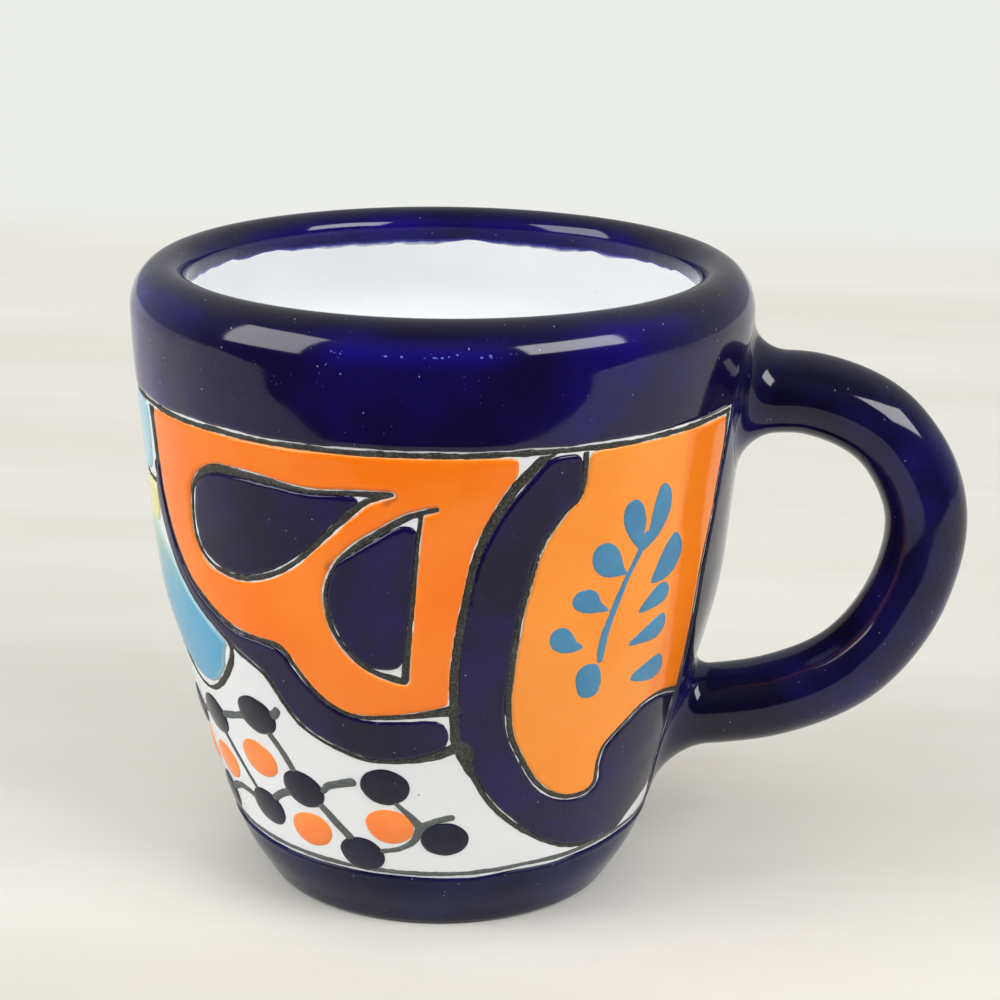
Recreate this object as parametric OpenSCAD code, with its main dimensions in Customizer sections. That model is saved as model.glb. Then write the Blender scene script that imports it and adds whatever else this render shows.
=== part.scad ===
/* [Body] */
// Height of the mug from the table to the crest of the lip
mug_h = 92; // [84:0.5:110]
// Outside diameter at the fullest part of the rim
rim_d = 89; // [80:0.5:100]
// Diameter of the foot where it meets the table
foot_d = 50; // [42:0.5:58]
// Thickness of the glazed wall
wall_t = 5; // [3.5:0.1:6.5]
// Height of the inside floor above the table
floor_z = 8; // [6:0.1:11]
// Radius of the inside corner between floor and wall
floor_corner_r = 9; // [5:0.5:12]
// Depth of the hollow under the foot
foot_hollow = 1.8; // [0.8:0.1:3]
// Width of the bare clay ring that the mug stands on
foot_ring_w = 5; // [3:0.1:8]

/* [Lip] */
// Height of the rounded lip above the fullest part of the rim
lip_rise = 6.4; // [4:0.1:9]
// Distance that the crest of the lip lies inside the fullest part
lip_reach = 5; // [3.5:0.1:6.5]
// Radius of the lip's inner edge
lip_inner_r = 3; // [2:0.1:4]

/* [Handle] */
// Thickness of the handle in the plane of its loop
handle_t = 11.8; // [9:0.1:14]
// Width of the handle across its loop
handle_w = 12.6; // [9:0.1:16]
// Distance from the fullest part of the rim out to the handle's far centre line
handle_stand = 25.5; // [20:0.5:34]
// Depth of the handle's upper run below the crest of the lip, on its centre line
handle_drop = 18; // [15:0.5:24]
// Height of the handle's centre line at its lower joint
handle_bottom = 25.5; // [20:0.5:30]
// Flare of the handle where it joins the wall under the rim
upper_flare = 4.6; // [2:0.1:6]
// Flare under the handle at its lower joint
lower_flare = 6; // [2:0.1:7]
// Flare inside the loop at the lower joint
inner_flare = 2.6; // [1:0.1:4]

/* [Coats] */
// Thickness of the white glaze under the colours
white_t = 0.35; // [0.2:0.05:0.6]
// Thickness of a colour coat on the white glaze
colour_t = 0.3; // [0.2:0.05:0.5]
// Height of the bare clay at the foot
foot_bare = 1; // [0.5:0.1:2]
// Depth of the cobalt band inside the lip
inside_band = 5.4; // [4:0.1:8]

/* [Painted field] */
// Height of the cobalt rim band, from its dark line up to the crest of the lip
rim_band_h = 17; // [13:0.5:22]
// Height of the dark line above the foot band
foot_line_z = 10; // [8:0.5:13]
// Width of a dark line
line_w = 1; // [0.6:0.05:1.4]
// Width of the white gap beside a dark line
gap_w = 0.35; // [0.2:0.05:0.6]
// Width of a dot in the lattice
dot_w = 7; // [5:0.1:8]
// Height of a dot in the lattice
dot_h = 6.3; // [5:0.1:7.5]
// Width of a lattice line
lattice_w = 1.1; // [0.7:0.05:1.5]
// Width of the sprig's stem
stem_w = 0.9; // [0.6:0.05:1.4]
// Diameter of the flower's centre
flower_d = 11; // [8:0.5:14]

/* [Hidden] */

// Facets of a full turn
turn_steps = 144;
$fn = turn_steps;
// Length that a cutting shape runs past what it cuts
over = 4;
coat_t = white_t + colour_t;
rim_r = rim_d / 2;
foot_r = foot_d / 2;
lip_z = mug_h - lip_rise;
rim_line_z = mug_h - rim_band_h;
handle_top = mug_h - handle_drop;
handle_reach = rim_r + handle_stand;
crest_r = rim_r - lip_reach;
field_h = rim_line_z - foot_line_z;

// The outer wall, as shares of the height up to the fullest part and of the
// radius gained between the foot and the rim
wall_shares = [
    [0, 0], [0.03, 0.09], [0.095, 0.25], [0.215, 0.43], [0.375, 0.63], [0.535, 0.81],
    [0.695, 0.89], [0.835, 0.95], [0.925, 0.985], [1, 1]
];
// The handle's centre line, as shares of its reach and of its height
handle_shares = [
    [0.38, 0], [0.51, 0.005], [0.705, 0.05], [0.868, 0.172], [0.974, 0.393],
    [1, 0.66], [0.918, 0.888], [0.76, 0.998], [0.58, 0.982], [0.47, 0.96]
];

// A smooth curve through open points, with n steps between two points
function spline(a, b, c, d, t) =
    b + 0.5 * t * ((c - a) + t * ((2 * a - 5 * b + 4 * c - d) + t * (3 * (b - c) + d - a)));
function smooth(p, n) = [
    for (i = [0:len(p) - 2], k = [0:n - 1])
        spline(p[max(i - 1, 0)], p[i], p[i + 1], p[min(i + 2, len(p) - 1)], k / n),
    p[len(p) - 1]
];
// A smooth closed curve through points
function loop(p, n) = [
    for (i = [0:len(p) - 1], k = [0:n - 1])
        spline(p[(i + len(p) - 1) % len(p)], p[i], p[(i + 1) % len(p)], p[(i + 2) % len(p)], k / n)
];
function flip(p) = [for (i = [len(p) - 1:-1:0]) p[i]];
function unit(v) = v / norm(v);

// Outer wall as [height, radius], from the table to the fullest part
wall_line = smooth([for (s = wall_shares) [s[0] * lip_z, foot_r + s[1] * (rim_r - foot_r)]], 3);
function wall_r(z) = lookup(z, wall_line);

// Inner wall as [height, radius], from the floor corner to the eye of the lip's inner edge
corner_lean = 72;
inner_top_share = 0.88;
inner_wall_steps = 10;
inner_foot_z = floor_z + floor_corner_r * (1 - cos(corner_lean));
lip_eye_z = mug_h - lip_inner_r;
inner_line = smooth(concat(
    [for (i = [0:inner_wall_steps])
        let (z = inner_foot_z + (inner_top_share * lip_eye_z - inner_foot_z) * i / inner_wall_steps)
            [z, wall_r(z) - wall_t]],
    [[lip_eye_z, crest_r - lip_inner_r]]
), 2);
function inner_r(z) = lookup(z, inner_line);

// Parts of the half section as [radius, height], set back by d from the finished surface
lip_turn = 90;
lip_step = lip_turn / 9;
function lip_outer_part(d) = [
    for (a = [lip_step:lip_step:lip_turn])
        [crest_r + (lip_reach - d) * cos(a), lip_z + (lip_rise - d) * sin(a)]
];
function lip_inner_part(d) = [
    for (a = [lip_turn + lip_step:lip_step:2 * lip_turn])
        [crest_r + (lip_inner_r - d) * cos(a), lip_eye_z + (lip_inner_r - d) * sin(a)]
];
function inner_part(d, stop_z = 0) = flip([
    for (p = inner_line)
        if (p[0] > stop_z) [p[1] + d, p[0]]
]);
corner_step = corner_lean / 6;
corner_eye_r = inner_r(inner_foot_z) - floor_corner_r * sin(corner_lean);
function floor_part(d) = [
    for (a = [corner_lean - corner_step:-corner_step:0])
        [corner_eye_r + (floor_corner_r + d) * sin(a),
         floor_z + floor_corner_r - (floor_corner_r + d) * cos(a)]
];
function wall_part(d, z0) = concat(
    [[wall_r(z0) - d, z0]],
    [for (p = wall_line) if (p[0] > z0) [p[1] - d, p[0]]]
);
function bowl_part(d) = concat(lip_inner_part(d), inner_part(d), floor_part(d), [[0, floor_z - d]]);
function skin(d) = concat(wall_part(d, 0), lip_outer_part(d), bowl_part(d));

// The clay of the mug, with its hollow foot
module clay_turned() {
    rotate_extrude()
        polygon(concat(
            skin(coat_t),
            [[0, foot_hollow], [foot_r - foot_ring_w, foot_hollow], [foot_r - foot_ring_w, 0]]
        ));
}
// Everything inside the outer surface set back by d, from below the table to above the lip
module outside_of(d) {
    rotate_extrude()
        polygon(concat(
            [[0, -over], [foot_r - d, -over]],
            wall_part(d, 0),
            [[rim_r - d, mug_h], [0, mug_h]]
        ));
}
// A coat on the wall between two lines of the section
module turned_coat(shallow_line, deep_line) {
    rotate_extrude()
        polygon(concat(shallow_line, flip(deep_line)));
}
// A coat on the outer wall between two heights and two set-backs
function wall_strip(z0, z1, d) = concat(
    [for (p = wall_part(d, z0)) if (p[1] < z1) p],
    [[wall_r(z1) - d, z1]]
);
module wall_coat(z0, z1, deep, shallow) {
    turned_coat(wall_strip(z0, z1, shallow), wall_strip(z0, z1, deep));
}

// Places on the painted field: u is the share of the half turn from the handle
// round to the opposite side, v the share of the height between the two lines
function place_a(p) = 180 * p[0];
function place_z(p) = foot_line_z + p[1] * field_h;
function flat(p, mid) = [wall_r(place_z(p)) * sin(180 * mid - place_a(p)), place_z(p)];
function flats(points, mid) = [for (p = points) flat(p, mid)];

// A prism over an outline, standing out from the axis at the middle share
prism_start_r = foot_r / 2;
module prism(mid) {
    rotate([0, 0, -180 * mid])
        rotate([90, 0, 90])
            translate([0, 0, prism_start_r])
                linear_extrude(rim_r)
                    children();
}
module both_sides() {
    children();
    mirror([0, 1, 0])
        children();
}
// Where the colours of the field start and stop, clear of the two dark lines
paint_z0 = foot_line_z + line_w / 2 + gap_w;
paint_z1 = rim_line_z - line_w / 2 - gap_w;
// A coat inside the given prisms, between two set-backs
module coat_in(deep, shallow) {
    intersection() {
        wall_coat(paint_z0, paint_z1, deep, shallow);
        children();
    }
}
// A colour coat inside one outline given as shares, on both sides of the mug
module painted(shares, mid) {
    both_sides()
        coat_in(colour_t, 0)
            prism(mid)
                polygon(flats(shares, mid));
}

// A brush stroke of even width along flat points
function run_dir(p, i) = unit(p[min(i + 1, len(p) - 1)] - p[max(i - 1, 0)]);
function side_of(p, w) = [for (i = [0:len(p) - 1]) let (t = run_dir(p, i)) p[i] + w * [-t[1], t[0]]];
function stroke(p, w) = concat(side_of(p, w / 2), flip(side_of(p, -w / 2)));
// A closed outline, clockwise as seen from outside, grown by d
function ring_dir(p, i) = unit(p[(i + 1) % len(p)] - p[(i + len(p) - 1) % len(p)]);
function grown(p, d) = [for (i = [0:len(p) - 1]) let (t = ring_dir(p, i)) p[i] + d * [-t[1], t[0]]];

// The handle, lofted through rings along its centre line. The rings spread
// where they come near the wall, and follow it, so that the handle flares out
handle_sides = 28;
flare_spans = [1, len(handle_shares) - 3];
flare_rings = 11;
free_rings = 4;
function rings_in(i) = i == flare_spans[0] || i == flare_spans[1]
    ? flare_rings
    : (i == 0 || i == len(handle_shares) - 2 ? 1 : free_rings);
handle_points = [
    for (s = handle_shares)
        [s[0] * handle_reach, handle_bottom + s[1] * (handle_top - handle_bottom)]
];
spine = concat(
    [for (i = [0:len(handle_points) - 2], k = [0:rings_in(i) - 1])
        spline(
            handle_points[max(i - 1, 0)], handle_points[i], handle_points[i + 1],
            handle_points[min(i + 2, len(handle_points) - 1)], k / rings_in(i)
        )],
    [handle_points[len(handle_points) - 1]]
);
handle_mid_z = (handle_top + handle_bottom) / 2;
function flare_of(z, a) = z > handle_mid_z
    ? upper_flare
    : inner_flare + (lower_flare - inner_flare) * (1 + cos(a)) / 2;
function wall_gap(p) = norm([p[0], p[1]]) - wall_r(p[2]);
function spread(gap, f) = gap >= f ? 0 : (gap <= 0 ? f : f - sqrt(f * f - (f - gap) * (f - gap)));
function on_gap(p, gap) =
    let (r = wall_r(p[2]) + gap, a = atan2(p[1], p[0])) [r * cos(a), r * sin(a), p[2]];
function ring_point(c, n, a, inset) =
    let (
        out = [cos(a) * n[0], sin(a), cos(a) * n[1]],
        half_t = handle_t / 2 - inset,
        half_w = handle_w / 2 - inset,
        p = [c[0] + half_t * out[0], half_w * out[1], c[1] + half_t * out[2]],
        gap = wall_gap(p),
        f = flare_of(c[1], a)
    )
    gap >= f ? p : on_gap(p + spread(gap, f) * out, gap);
function spine_dir(i) = run_dir(spine, i);
function handle_ring(i, inset) =
    let (t = spine_dir(i))
    [for (k = [0:handle_sides - 1]) ring_point(spine[i], [t[1], -t[0]], 360 * k / handle_sides, inset)];
module handle_loft(inset) {
    n = handle_sides;
    last = len(spine) - 1;
    rings = [for (i = [0:last], p = handle_ring(i, inset)) p];
    ends = [[spine[0][0], 0, spine[0][1]], [spine[last][0], 0, spine[last][1]]];
    polyhedron(
        points = concat(rings, ends),
        faces = concat(
            [for (i = [0:last - 1], k = [0:n - 1])
                [i * n + k, (i + 1) * n + (k + 1) % n, i * n + (k + 1) % n]],
            [for (i = [0:last - 1], k = [0:n - 1])
                [i * n + k, (i + 1) * n + k, (i + 1) * n + (k + 1) % n]],
            [for (k = [0:n - 1]) [len(rings), k, (k + 1) % n]],
            [for (k = [0:n - 1]) [len(rings) + 1, last * n + (k + 1) % n, last * n + k]]
        )
    );
}
// The bed of slip under a handle end, as wide as the handle without its flare
upper_joint_z = handle_bottom + handle_shares[flare_spans[1] + 1][1] * (handle_top - handle_bottom);
lower_joint_z = handle_bottom;
module slip_bed(z) {
    translate([0, 0, z])
        rotate([90, 0, 90])
            linear_extrude(handle_reach)
                polygon([
                    for (k = [0:handle_sides - 1])
                        let (a = 360 * k / handle_sides)
                            [(handle_w / 2 - coat_t) * cos(a), (handle_t / 2 - coat_t) * sin(a)]
                ]);
}
module slip_beds() {
    slip_bed(upper_joint_z);
    slip_bed(lower_joint_z);
}

// The painted design. All outlines are shares [u, v] of the field, clockwise as seen
cobalt = "#21164f";
charcoal = "#3c3c3a";
white = "#e6eaf2";
clay = "#b5764f";

// Orange panel, from its top right corner down, round its foot and up to the left
orange_mid = 0.62;
orange_shares = smooth([
    [0.392, 1.02], [0.396, 0.95], [0.408, 0.9], [0.425, 0.84], [0.44, 0.785], [0.449, 0.69],
    [0.456, 0.6], [0.458, 0.52], [0.459, 0.455], [0.47, 0.433], [0.5, 0.418], [0.536, 0.41],
    [0.566, 0.413], [0.592, 0.433], [0.614, 0.472], [0.63, 0.52], [0.645, 0.552], [0.678, 0.556],
    [0.713, 0.567], [0.747, 0.6], [0.781, 0.646], [0.81, 0.718], [0.826, 0.8], [0.83, 0.89], [0.832, 1.02]
], 2);
// Long teardrop and half-round teardrop inside the orange panel
long_drop_shares = loop([
    [0.756, 0.81], [0.747, 0.855], [0.724, 0.889], [0.69, 0.906], [0.657, 0.903], [0.626, 0.899],
    [0.596, 0.893], [0.573, 0.902], [0.552, 0.9], [0.561, 0.872], [0.59, 0.81], [0.61, 0.775],
    [0.632, 0.741], [0.664, 0.705], [0.695, 0.687], [0.721, 0.684], [0.742, 0.701], [0.755, 0.736]
], 2);
round_drop_shares = loop([
    [0.504, 0.84], [0.494, 0.825], [0.497, 0.777], [0.499, 0.713], [0.502, 0.638], [0.506, 0.582],
    [0.51, 0.543], [0.522, 0.523], [0.537, 0.52], [0.555, 0.542], [0.57, 0.582], [0.579, 0.636],
    [0.582, 0.688], [0.577, 0.727], [0.567, 0.755], [0.546, 0.79], [0.521, 0.827]
], 2);
// Amber panel, from its top right corner down beside the handle field, along the foot
// and up its left side
amber_mid = 0.25;
amber_shares = smooth([
    [0.109, 1.02], [0.11, 0.93], [0.118, 0.85], [0.123, 0.763], [0.131, 0.69], [0.136, 0.64],
    [0.135, 0.53], [0.124, 0.43], [0.112, 0.37], [0.145, 0.378], [0.175, 0.382], [0.205, 0.37],
    [0.225, 0.344], [0.243, 0.32], [0.258, 0.29], [0.26, 0.245], [0.257, 0.208], [0.269, 0.19],
    [0.293, 0.188], [0.321, 0.211], [0.342, 0.247], [0.362, 0.303], [0.38, 0.37], [0.387, 0.43],
    [0.388, 0.494], [0.386, 0.578], [0.38, 0.653], [0.374, 0.727], [0.362, 0.795], [0.338, 0.875],
    [0.325, 0.917], [0.322, 1.02]
], 2);
// Scroll between the two panels, with its hooked lobe by the handle
scroll_mid = 0.24;
scroll_shares = smooth([
    [0.337, 1.02], [0.332, 0.94], [0.343, 0.885], [0.368, 0.803], [0.382, 0.727], [0.388, 0.653],
    [0.394, 0.57], [0.396, 0.494], [0.395, 0.42], [0.387, 0.358], [0.369, 0.291], [0.348, 0.232],
    [0.323, 0.193], [0.293, 0.17], [0.262, 0.166], [0.247, 0.19], [0.251, 0.24], [0.248, 0.285],
    [0.235, 0.308], [0.215, 0.336], [0.197, 0.357], [0.172, 0.366], [0.145, 0.361], [0.115, 0.344],
    [0.08, 0.3], [0.048, 0.225], [0.047, 0.15], [0.07, 0.1], [0.114, 0.066], [0.166, 0.047],
    [0.204, 0.037], [0.245, 0.04], [0.294, 0.058], [0.347, 0.117], [0.382, 0.171], [0.411, 0.233],
    [0.43, 0.317], [0.439, 0.365], [0.442, 0.44], [0.442, 0.529], [0.439, 0.613], [0.432, 0.703],
    [0.424, 0.77], [0.412, 0.83], [0.396, 0.885], [0.377, 0.935], [0.36, 1.02]
], 2);
// Wave under the orange panel
wave_mid = 0.65;
wave_shares = loop([
    [0.85, 0.86], [0.838, 0.86], [0.834, 0.79], [0.818, 0.71], [0.788, 0.632], [0.75, 0.583],
    [0.713, 0.549], [0.678, 0.54], [0.65, 0.53], [0.635, 0.49], [0.614, 0.443], [0.59, 0.408],
    [0.556, 0.391], [0.515, 0.394], [0.472, 0.398], [0.46, 0.366], [0.467, 0.331], [0.489, 0.31],
    [0.517, 0.302], [0.547, 0.302], [0.576, 0.315], [0.607, 0.335], [0.636, 0.367], [0.656, 0.418],
    [0.673, 0.47], [0.71, 0.512], [0.752, 0.555], [0.785, 0.605], [0.822, 0.675], [0.845, 0.745],
    [0.851, 0.8]
], 1);
// Flower opposite the handle: two petals a side with their hearts, and one petal below
flower_mid = 0.87;
low_petal_shares = loop([
    [0.945, 0.7], [0.9, 0.708], [0.866, 0.685], [0.832, 0.658], [0.797, 0.602], [0.765, 0.555],
    [0.737, 0.515], [0.736, 0.49], [0.747, 0.452], [0.77, 0.408], [0.802, 0.38], [0.83, 0.385],
    [0.858, 0.43], [0.888, 0.5], [0.918, 0.58], [0.94, 0.64]
], 2);
heart_shares = loop([
    [0.945, 0.775], [0.905, 0.798], [0.872, 0.804], [0.862, 0.77], [0.866, 0.73], [0.878, 0.712],
    [0.905, 0.722], [0.945, 0.715]
], 2);
top_petal_shares = smooth([
    [0.962, 1.02], [0.955, 0.87], [0.935, 0.815], [0.9, 0.822], [0.872, 0.845], [0.86, 0.93],
    [0.861, 1.02]
], 3);
last_petal_shares = loop([
    [1, 0.6], [0.975, 0.56], [0.955, 0.48], [0.955, 0.38], [0.975, 0.29],
    [1, 0.26], [1.025, 0.29], [1.045, 0.38], [1.045, 0.48], [1.025, 0.56]
], 2);
flower_v_share = 0.72;
// Edge of the cobalt field round the handle
field_edge_shares = smooth([
    [0.1, 1.2], [0.098, 1.02], [0.101, 0.93], [0.109, 0.85], [0.114, 0.763], [0.122, 0.69],
    [0.127, 0.64], [0.126, 0.53], [0.115, 0.43], [0.092, 0.345], [0.066, 0.3], [0.036, 0.225],
    [0.034, 0.15], [0.044, 0.08], [0.055, -0.02], [0.055, -0.2]
], 2);
// Dark lines, each with the middle share that it is laid out from
outline_shares = [
    [0.41, [[0.369, 1.02], [0.382, 0.965], [0.401, 0.915], [0.418, 0.85], [0.432, 0.78], [0.44, 0.7],
            [0.447, 0.613], [0.45, 0.529], [0.451, 0.442], [0.448, 0.366], [0.44, 0.31]]],
    [0.6, [[0.452, 0.322], [0.475, 0.298], [0.515, 0.284], [0.55, 0.284], [0.583, 0.298], [0.617, 0.32],
           [0.647, 0.353], [0.668, 0.41], [0.684, 0.455], [0.718, 0.494]]],
    [0.8, [[0.727, 0.497], [0.726, 0.475], [0.738, 0.432], [0.762, 0.385], [0.798, 0.353],
           [0.84, 0.362]]],
    [0.84, [[0.846, 1.02], [0.843, 0.93], [0.844, 0.885]]]
];
// Dots and the lattice that joins them
blue_dot_shares = [
    [0.46, 0.098], [0.537, 0.23], [0.582, 0.064], [0.658, 0.184], [0.739, 0.106],
    [0.714, 0.344], [0.812, 0.292], [0.87, 0.07], [0.905, 0.262]
];
orange_dot_shares = [[0.53, 0.128], [0.658, 0.079], [0.729, 0.232], [0.83, 0.166], [0.93, 0.15]];
lattice_shares = [
    [[0.812, 0.292], [0.714, 0.344]],
    [[0.714, 0.344], [0.665, 0.37]],
    [[0.714, 0.344], [0.675, 0.265], [0.658, 0.184]],
    [[0.812, 0.292], [0.739, 0.106]],
    [[0.87, 0.07], [0.8, 0.12], [0.739, 0.106]],
    [[0.739, 0.106], [0.7, 0.155], [0.658, 0.184]],
    [[0.658, 0.184], [0.612, 0.215], [0.576, 0.236]],
    [[0.658, 0.184], [0.61, 0.1], [0.582, 0.064]],
    [[0.537, 0.23], [0.513, 0.175], [0.49, 0.13], [0.475, 0.145], [0.448, 0.158]],
    [[0.582, 0.064], [0.54, 0.066], [0.508, 0.095], [0.49, 0.125]],
    [[0.905, 0.262], [0.812, 0.292]]
];
// Sprig: the stem, and leaves as foot, tip and widest place, with the width as a share
// of the field's height and the place of the widest part along the leaf
stem_shares = [
    [0.288, 0.525], [0.286, 0.572], [0.278, 0.624], [0.268, 0.675], [0.257, 0.722], [0.246, 0.757]
];
leaf_shares = [
    [[0.252, 0.735], [0.22, 0.892], 0.06, 1.5],
    [[0.256, 0.764], [0.261, 0.87], 0.06, 1.2],
    [[0.264, 0.7], [0.314, 0.78], 0.08, 1.7],
    [[0.286, 0.636], [0.332, 0.674], 0.06, 1.6],
    [[0.312, 0.562], [0.354, 0.6], 0.06, 1.6],
    [[0.297, 0.514], [0.3, 0.426], 0.07, 1.1],
    [[0.231, 0.672], [0.196, 0.773], 0.048, 1.3],
    [[0.245, 0.608], [0.2, 0.66], 0.036, 1.4],
    [[0.252, 0.534], [0.197, 0.588], 0.044, 1.5],
    [[0.236, 0.446], [0.19, 0.49], 0.046, 1.1]
];
leaf_steps = 12;
dot_steps = 28;

function leaf(s, mid) =
    let (
        foot = flat(s[0], mid),
        tip = flat(s[1], mid),
        along = unit(tip - foot),
        across = [-along[1], along[0]],
        half = s[2] * field_h / 2,
        run = [for (i = [0:leaf_steps]) i / leaf_steps],
        mid_line = [for (e = run) foot + e * (tip - foot)],
        spread_out = [for (e = run) half * sin(180 * pow(e, s[3])) * across]
    )
    concat(
        mid_line + spread_out,
        [for (i = [leaf_steps - 1:-1:1]) mid_line[i] - spread_out[i]]
    );
module dot(s, extra = 0) {
    prism(s[0])
        polygon([
            for (k = [0:dot_steps - 1])
                let (a = 360 * k / dot_steps)
                    flat(s, s[0]) + [(dot_w / 2 + extra) * cos(a), (dot_h / 2 + extra) * sin(a)]
        ]);
}
// The dots of a table that lie within a small share of a place, grown by extra
near_share = 0.13;
module dots_near(table, u, extra) {
    for (s = table)
        if (abs(s[0] - u) < near_share)
            dot(s, extra);
}
module drop_gap(shares, grow) {
    prism(orange_mid)
        polygon(grown(flats(shares, orange_mid), grow));
}

module clay_body() {
    color(clay)
        clay_turned();
}
module clay_handle() {
    color(clay)
        difference() {
            handle_loft(coat_t);
            outside_of(0);
        }
}
module handle_slip(z) {
    intersection() {
        slip_bed(z);
        difference() {
            outside_of(0);
            outside_of(coat_t);
        }
    }
}
module upper_handle_slip() {
    color("sienna")
        handle_slip(upper_joint_z);
}
module lower_handle_slip() {
    color("sienna")
        handle_slip(lower_joint_z);
}
module inside_white_glaze() {
    color(white)
        turned_coat(
            concat([[crest_r, mug_h - colour_t]], bowl_part(colour_t)),
            concat([[crest_r, mug_h - coat_t]], bowl_part(coat_t))
        );
}
module outside_white_glaze() {
    color(white)
        difference() {
            turned_coat(
                concat(wall_part(colour_t, foot_bare), lip_outer_part(colour_t)),
                concat(wall_part(coat_t, foot_bare), lip_outer_part(coat_t))
            );
            slip_beds();
        }
}
rim_glaze_z = rim_line_z + line_w / 2 + gap_w;
foot_glaze_z = foot_line_z - line_w / 2 - gap_w;
band_end_z = mug_h - inside_band;
function rim_strip(d) = concat(
    wall_part(d, rim_glaze_z), lip_outer_part(d), lip_inner_part(d),
    inner_part(d, band_end_z), [[inner_r(band_end_z) + d, band_end_z]]
);
module rim_glaze() {
    color(cobalt)
        difference() {
            turned_coat(rim_strip(0), rim_strip(colour_t));
            slip_beds();
        }
}
module foot_glaze() {
    color(cobalt)
        wall_coat(foot_bare, foot_glaze_z, colour_t, 0);
}
module handle_glaze() {
    color(cobalt)
        difference() {
            handle_loft(0);
            handle_loft(coat_t);
            outside_of(0);
        }
}
module field_prism(extra) {
    edge = side_of(flats(field_edge_shares, 0), -extra);
    prism(0)
        polygon(concat(edge, flip([for (p = edge) [-p[0], p[1]]])));
}
module handle_field_glaze() {
    color(cobalt)
        difference() {
            intersection() {
                wall_coat(foot_glaze_z, rim_glaze_z, colour_t, 0);
                field_prism(0);
            }
            slip_beds();
        }
}
module ring_line(z) {
    color(charcoal)
        difference() {
            wall_coat(z - line_w / 2, z + line_w / 2, colour_t, 0);
            field_prism(gap_w);
        }
}
module rim_line() {
    ring_line(rim_line_z);
}
module foot_line() {
    ring_line(foot_line_z);
}
module dark_outlines() {
    color(charcoal)
        both_sides() {
            for (s = outline_shares)
                difference() {
                    coat_in(colour_t, 0)
                        prism(s[0])
                            polygon(stroke(flats(smooth(s[1], 2), s[0]), line_w));
                    dots_near(blue_dot_shares, s[0], gap_w);
                }
            for (drop = [long_drop_shares, round_drop_shares])
                coat_in(colour_t, 0)
                    difference() {
                        drop_gap(drop, gap_w + line_w);
                        drop_gap(drop, gap_w);
                    }
        }
}
module orange_panels() {
    color("#ff7a2c")
        both_sides()
            coat_in(colour_t, 0)
                difference() {
                    prism(orange_mid)
                        polygon(flats(orange_shares, orange_mid));
                    drop_gap(long_drop_shares, 2 * gap_w + line_w);
                    drop_gap(round_drop_shares, 2 * gap_w + line_w);
                }
}
module amber_panels() {
    color("#ff963c")
        painted(amber_shares, amber_mid);
}
module teardrops() {
    color(cobalt) {
        painted(long_drop_shares, orange_mid);
        painted(round_drop_shares, orange_mid);
    }
}
module waves() {
    color(cobalt)
        painted(wave_shares, wave_mid);
}
module scrolls() {
    color(cobalt)
        difference() {
            painted(scroll_shares, scroll_mid);
            slip_beds();
        }
}
module sprigs() {
    color("#5091b4")
        both_sides()
            coat_in(0, -colour_t)
                union() {
                    prism(amber_mid)
                        polygon(stroke(flats(smooth(stem_shares, 3), amber_mid), stem_w));
                    for (s = leaf_shares)
                        prism(amber_mid)
                            polygon(leaf(s, amber_mid));
                }
}
module blue_dots() {
    color("#23284a")
        both_sides()
            for (s = blue_dot_shares)
                coat_in(colour_t, 0)
                    dot(s);
}
module orange_dots() {
    color("#ff964a")
        both_sides()
            for (s = orange_dot_shares)
                difference() {
                    coat_in(colour_t, 0)
                        dot(s);
                    dots_near(blue_dot_shares, s[0], gap_w);
                }
}
module lattice_lines() {
    color(charcoal)
        both_sides()
            for (s = lattice_shares)
                let (mid = (s[0][0] + s[len(s) - 1][0]) / 2)
                    difference() {
                        coat_in(colour_t, 0)
                            prism(mid)
                                polygon(stroke(flats(smooth(s, 3), mid), lattice_w));
                        dots_near(blue_dot_shares, mid, 0);
                        dots_near(orange_dot_shares, mid, gap_w);
                    }
}
module flower_petals() {
    color("#50aacd") {
        painted(low_petal_shares, flower_mid);
        painted(top_petal_shares, flower_mid);
        coat_in(colour_t, 0)
            prism(1)
                polygon(flats(last_petal_shares, 1));
    }
}
module flower_hearts() {
    color("#ebe182")
        painted(heart_shares, flower_mid);
}
module flower_centre() {
    color("#ff964a")
        coat_in(colour_t, 0)
            prism(1)
                translate([0, place_z([1, flower_v_share])])
                    circle(d = flower_d);
}

clay_body();
clay_handle();
upper_handle_slip();
lower_handle_slip();
inside_white_glaze();
outside_white_glaze();
rim_glaze();
foot_glaze();
handle_glaze();
handle_field_glaze();
rim_line();
foot_line();
dark_outlines();
orange_panels();
amber_panels();
teardrops();
waves();
scrolls();
sprigs();
blue_dots();
orange_dots();
lattice_lines();
flower_petals();
flower_hearts();
flower_centre();
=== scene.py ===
import math

import bmesh
import bpy
import numpy as np
from mathutils import Matrix, Vector


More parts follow.
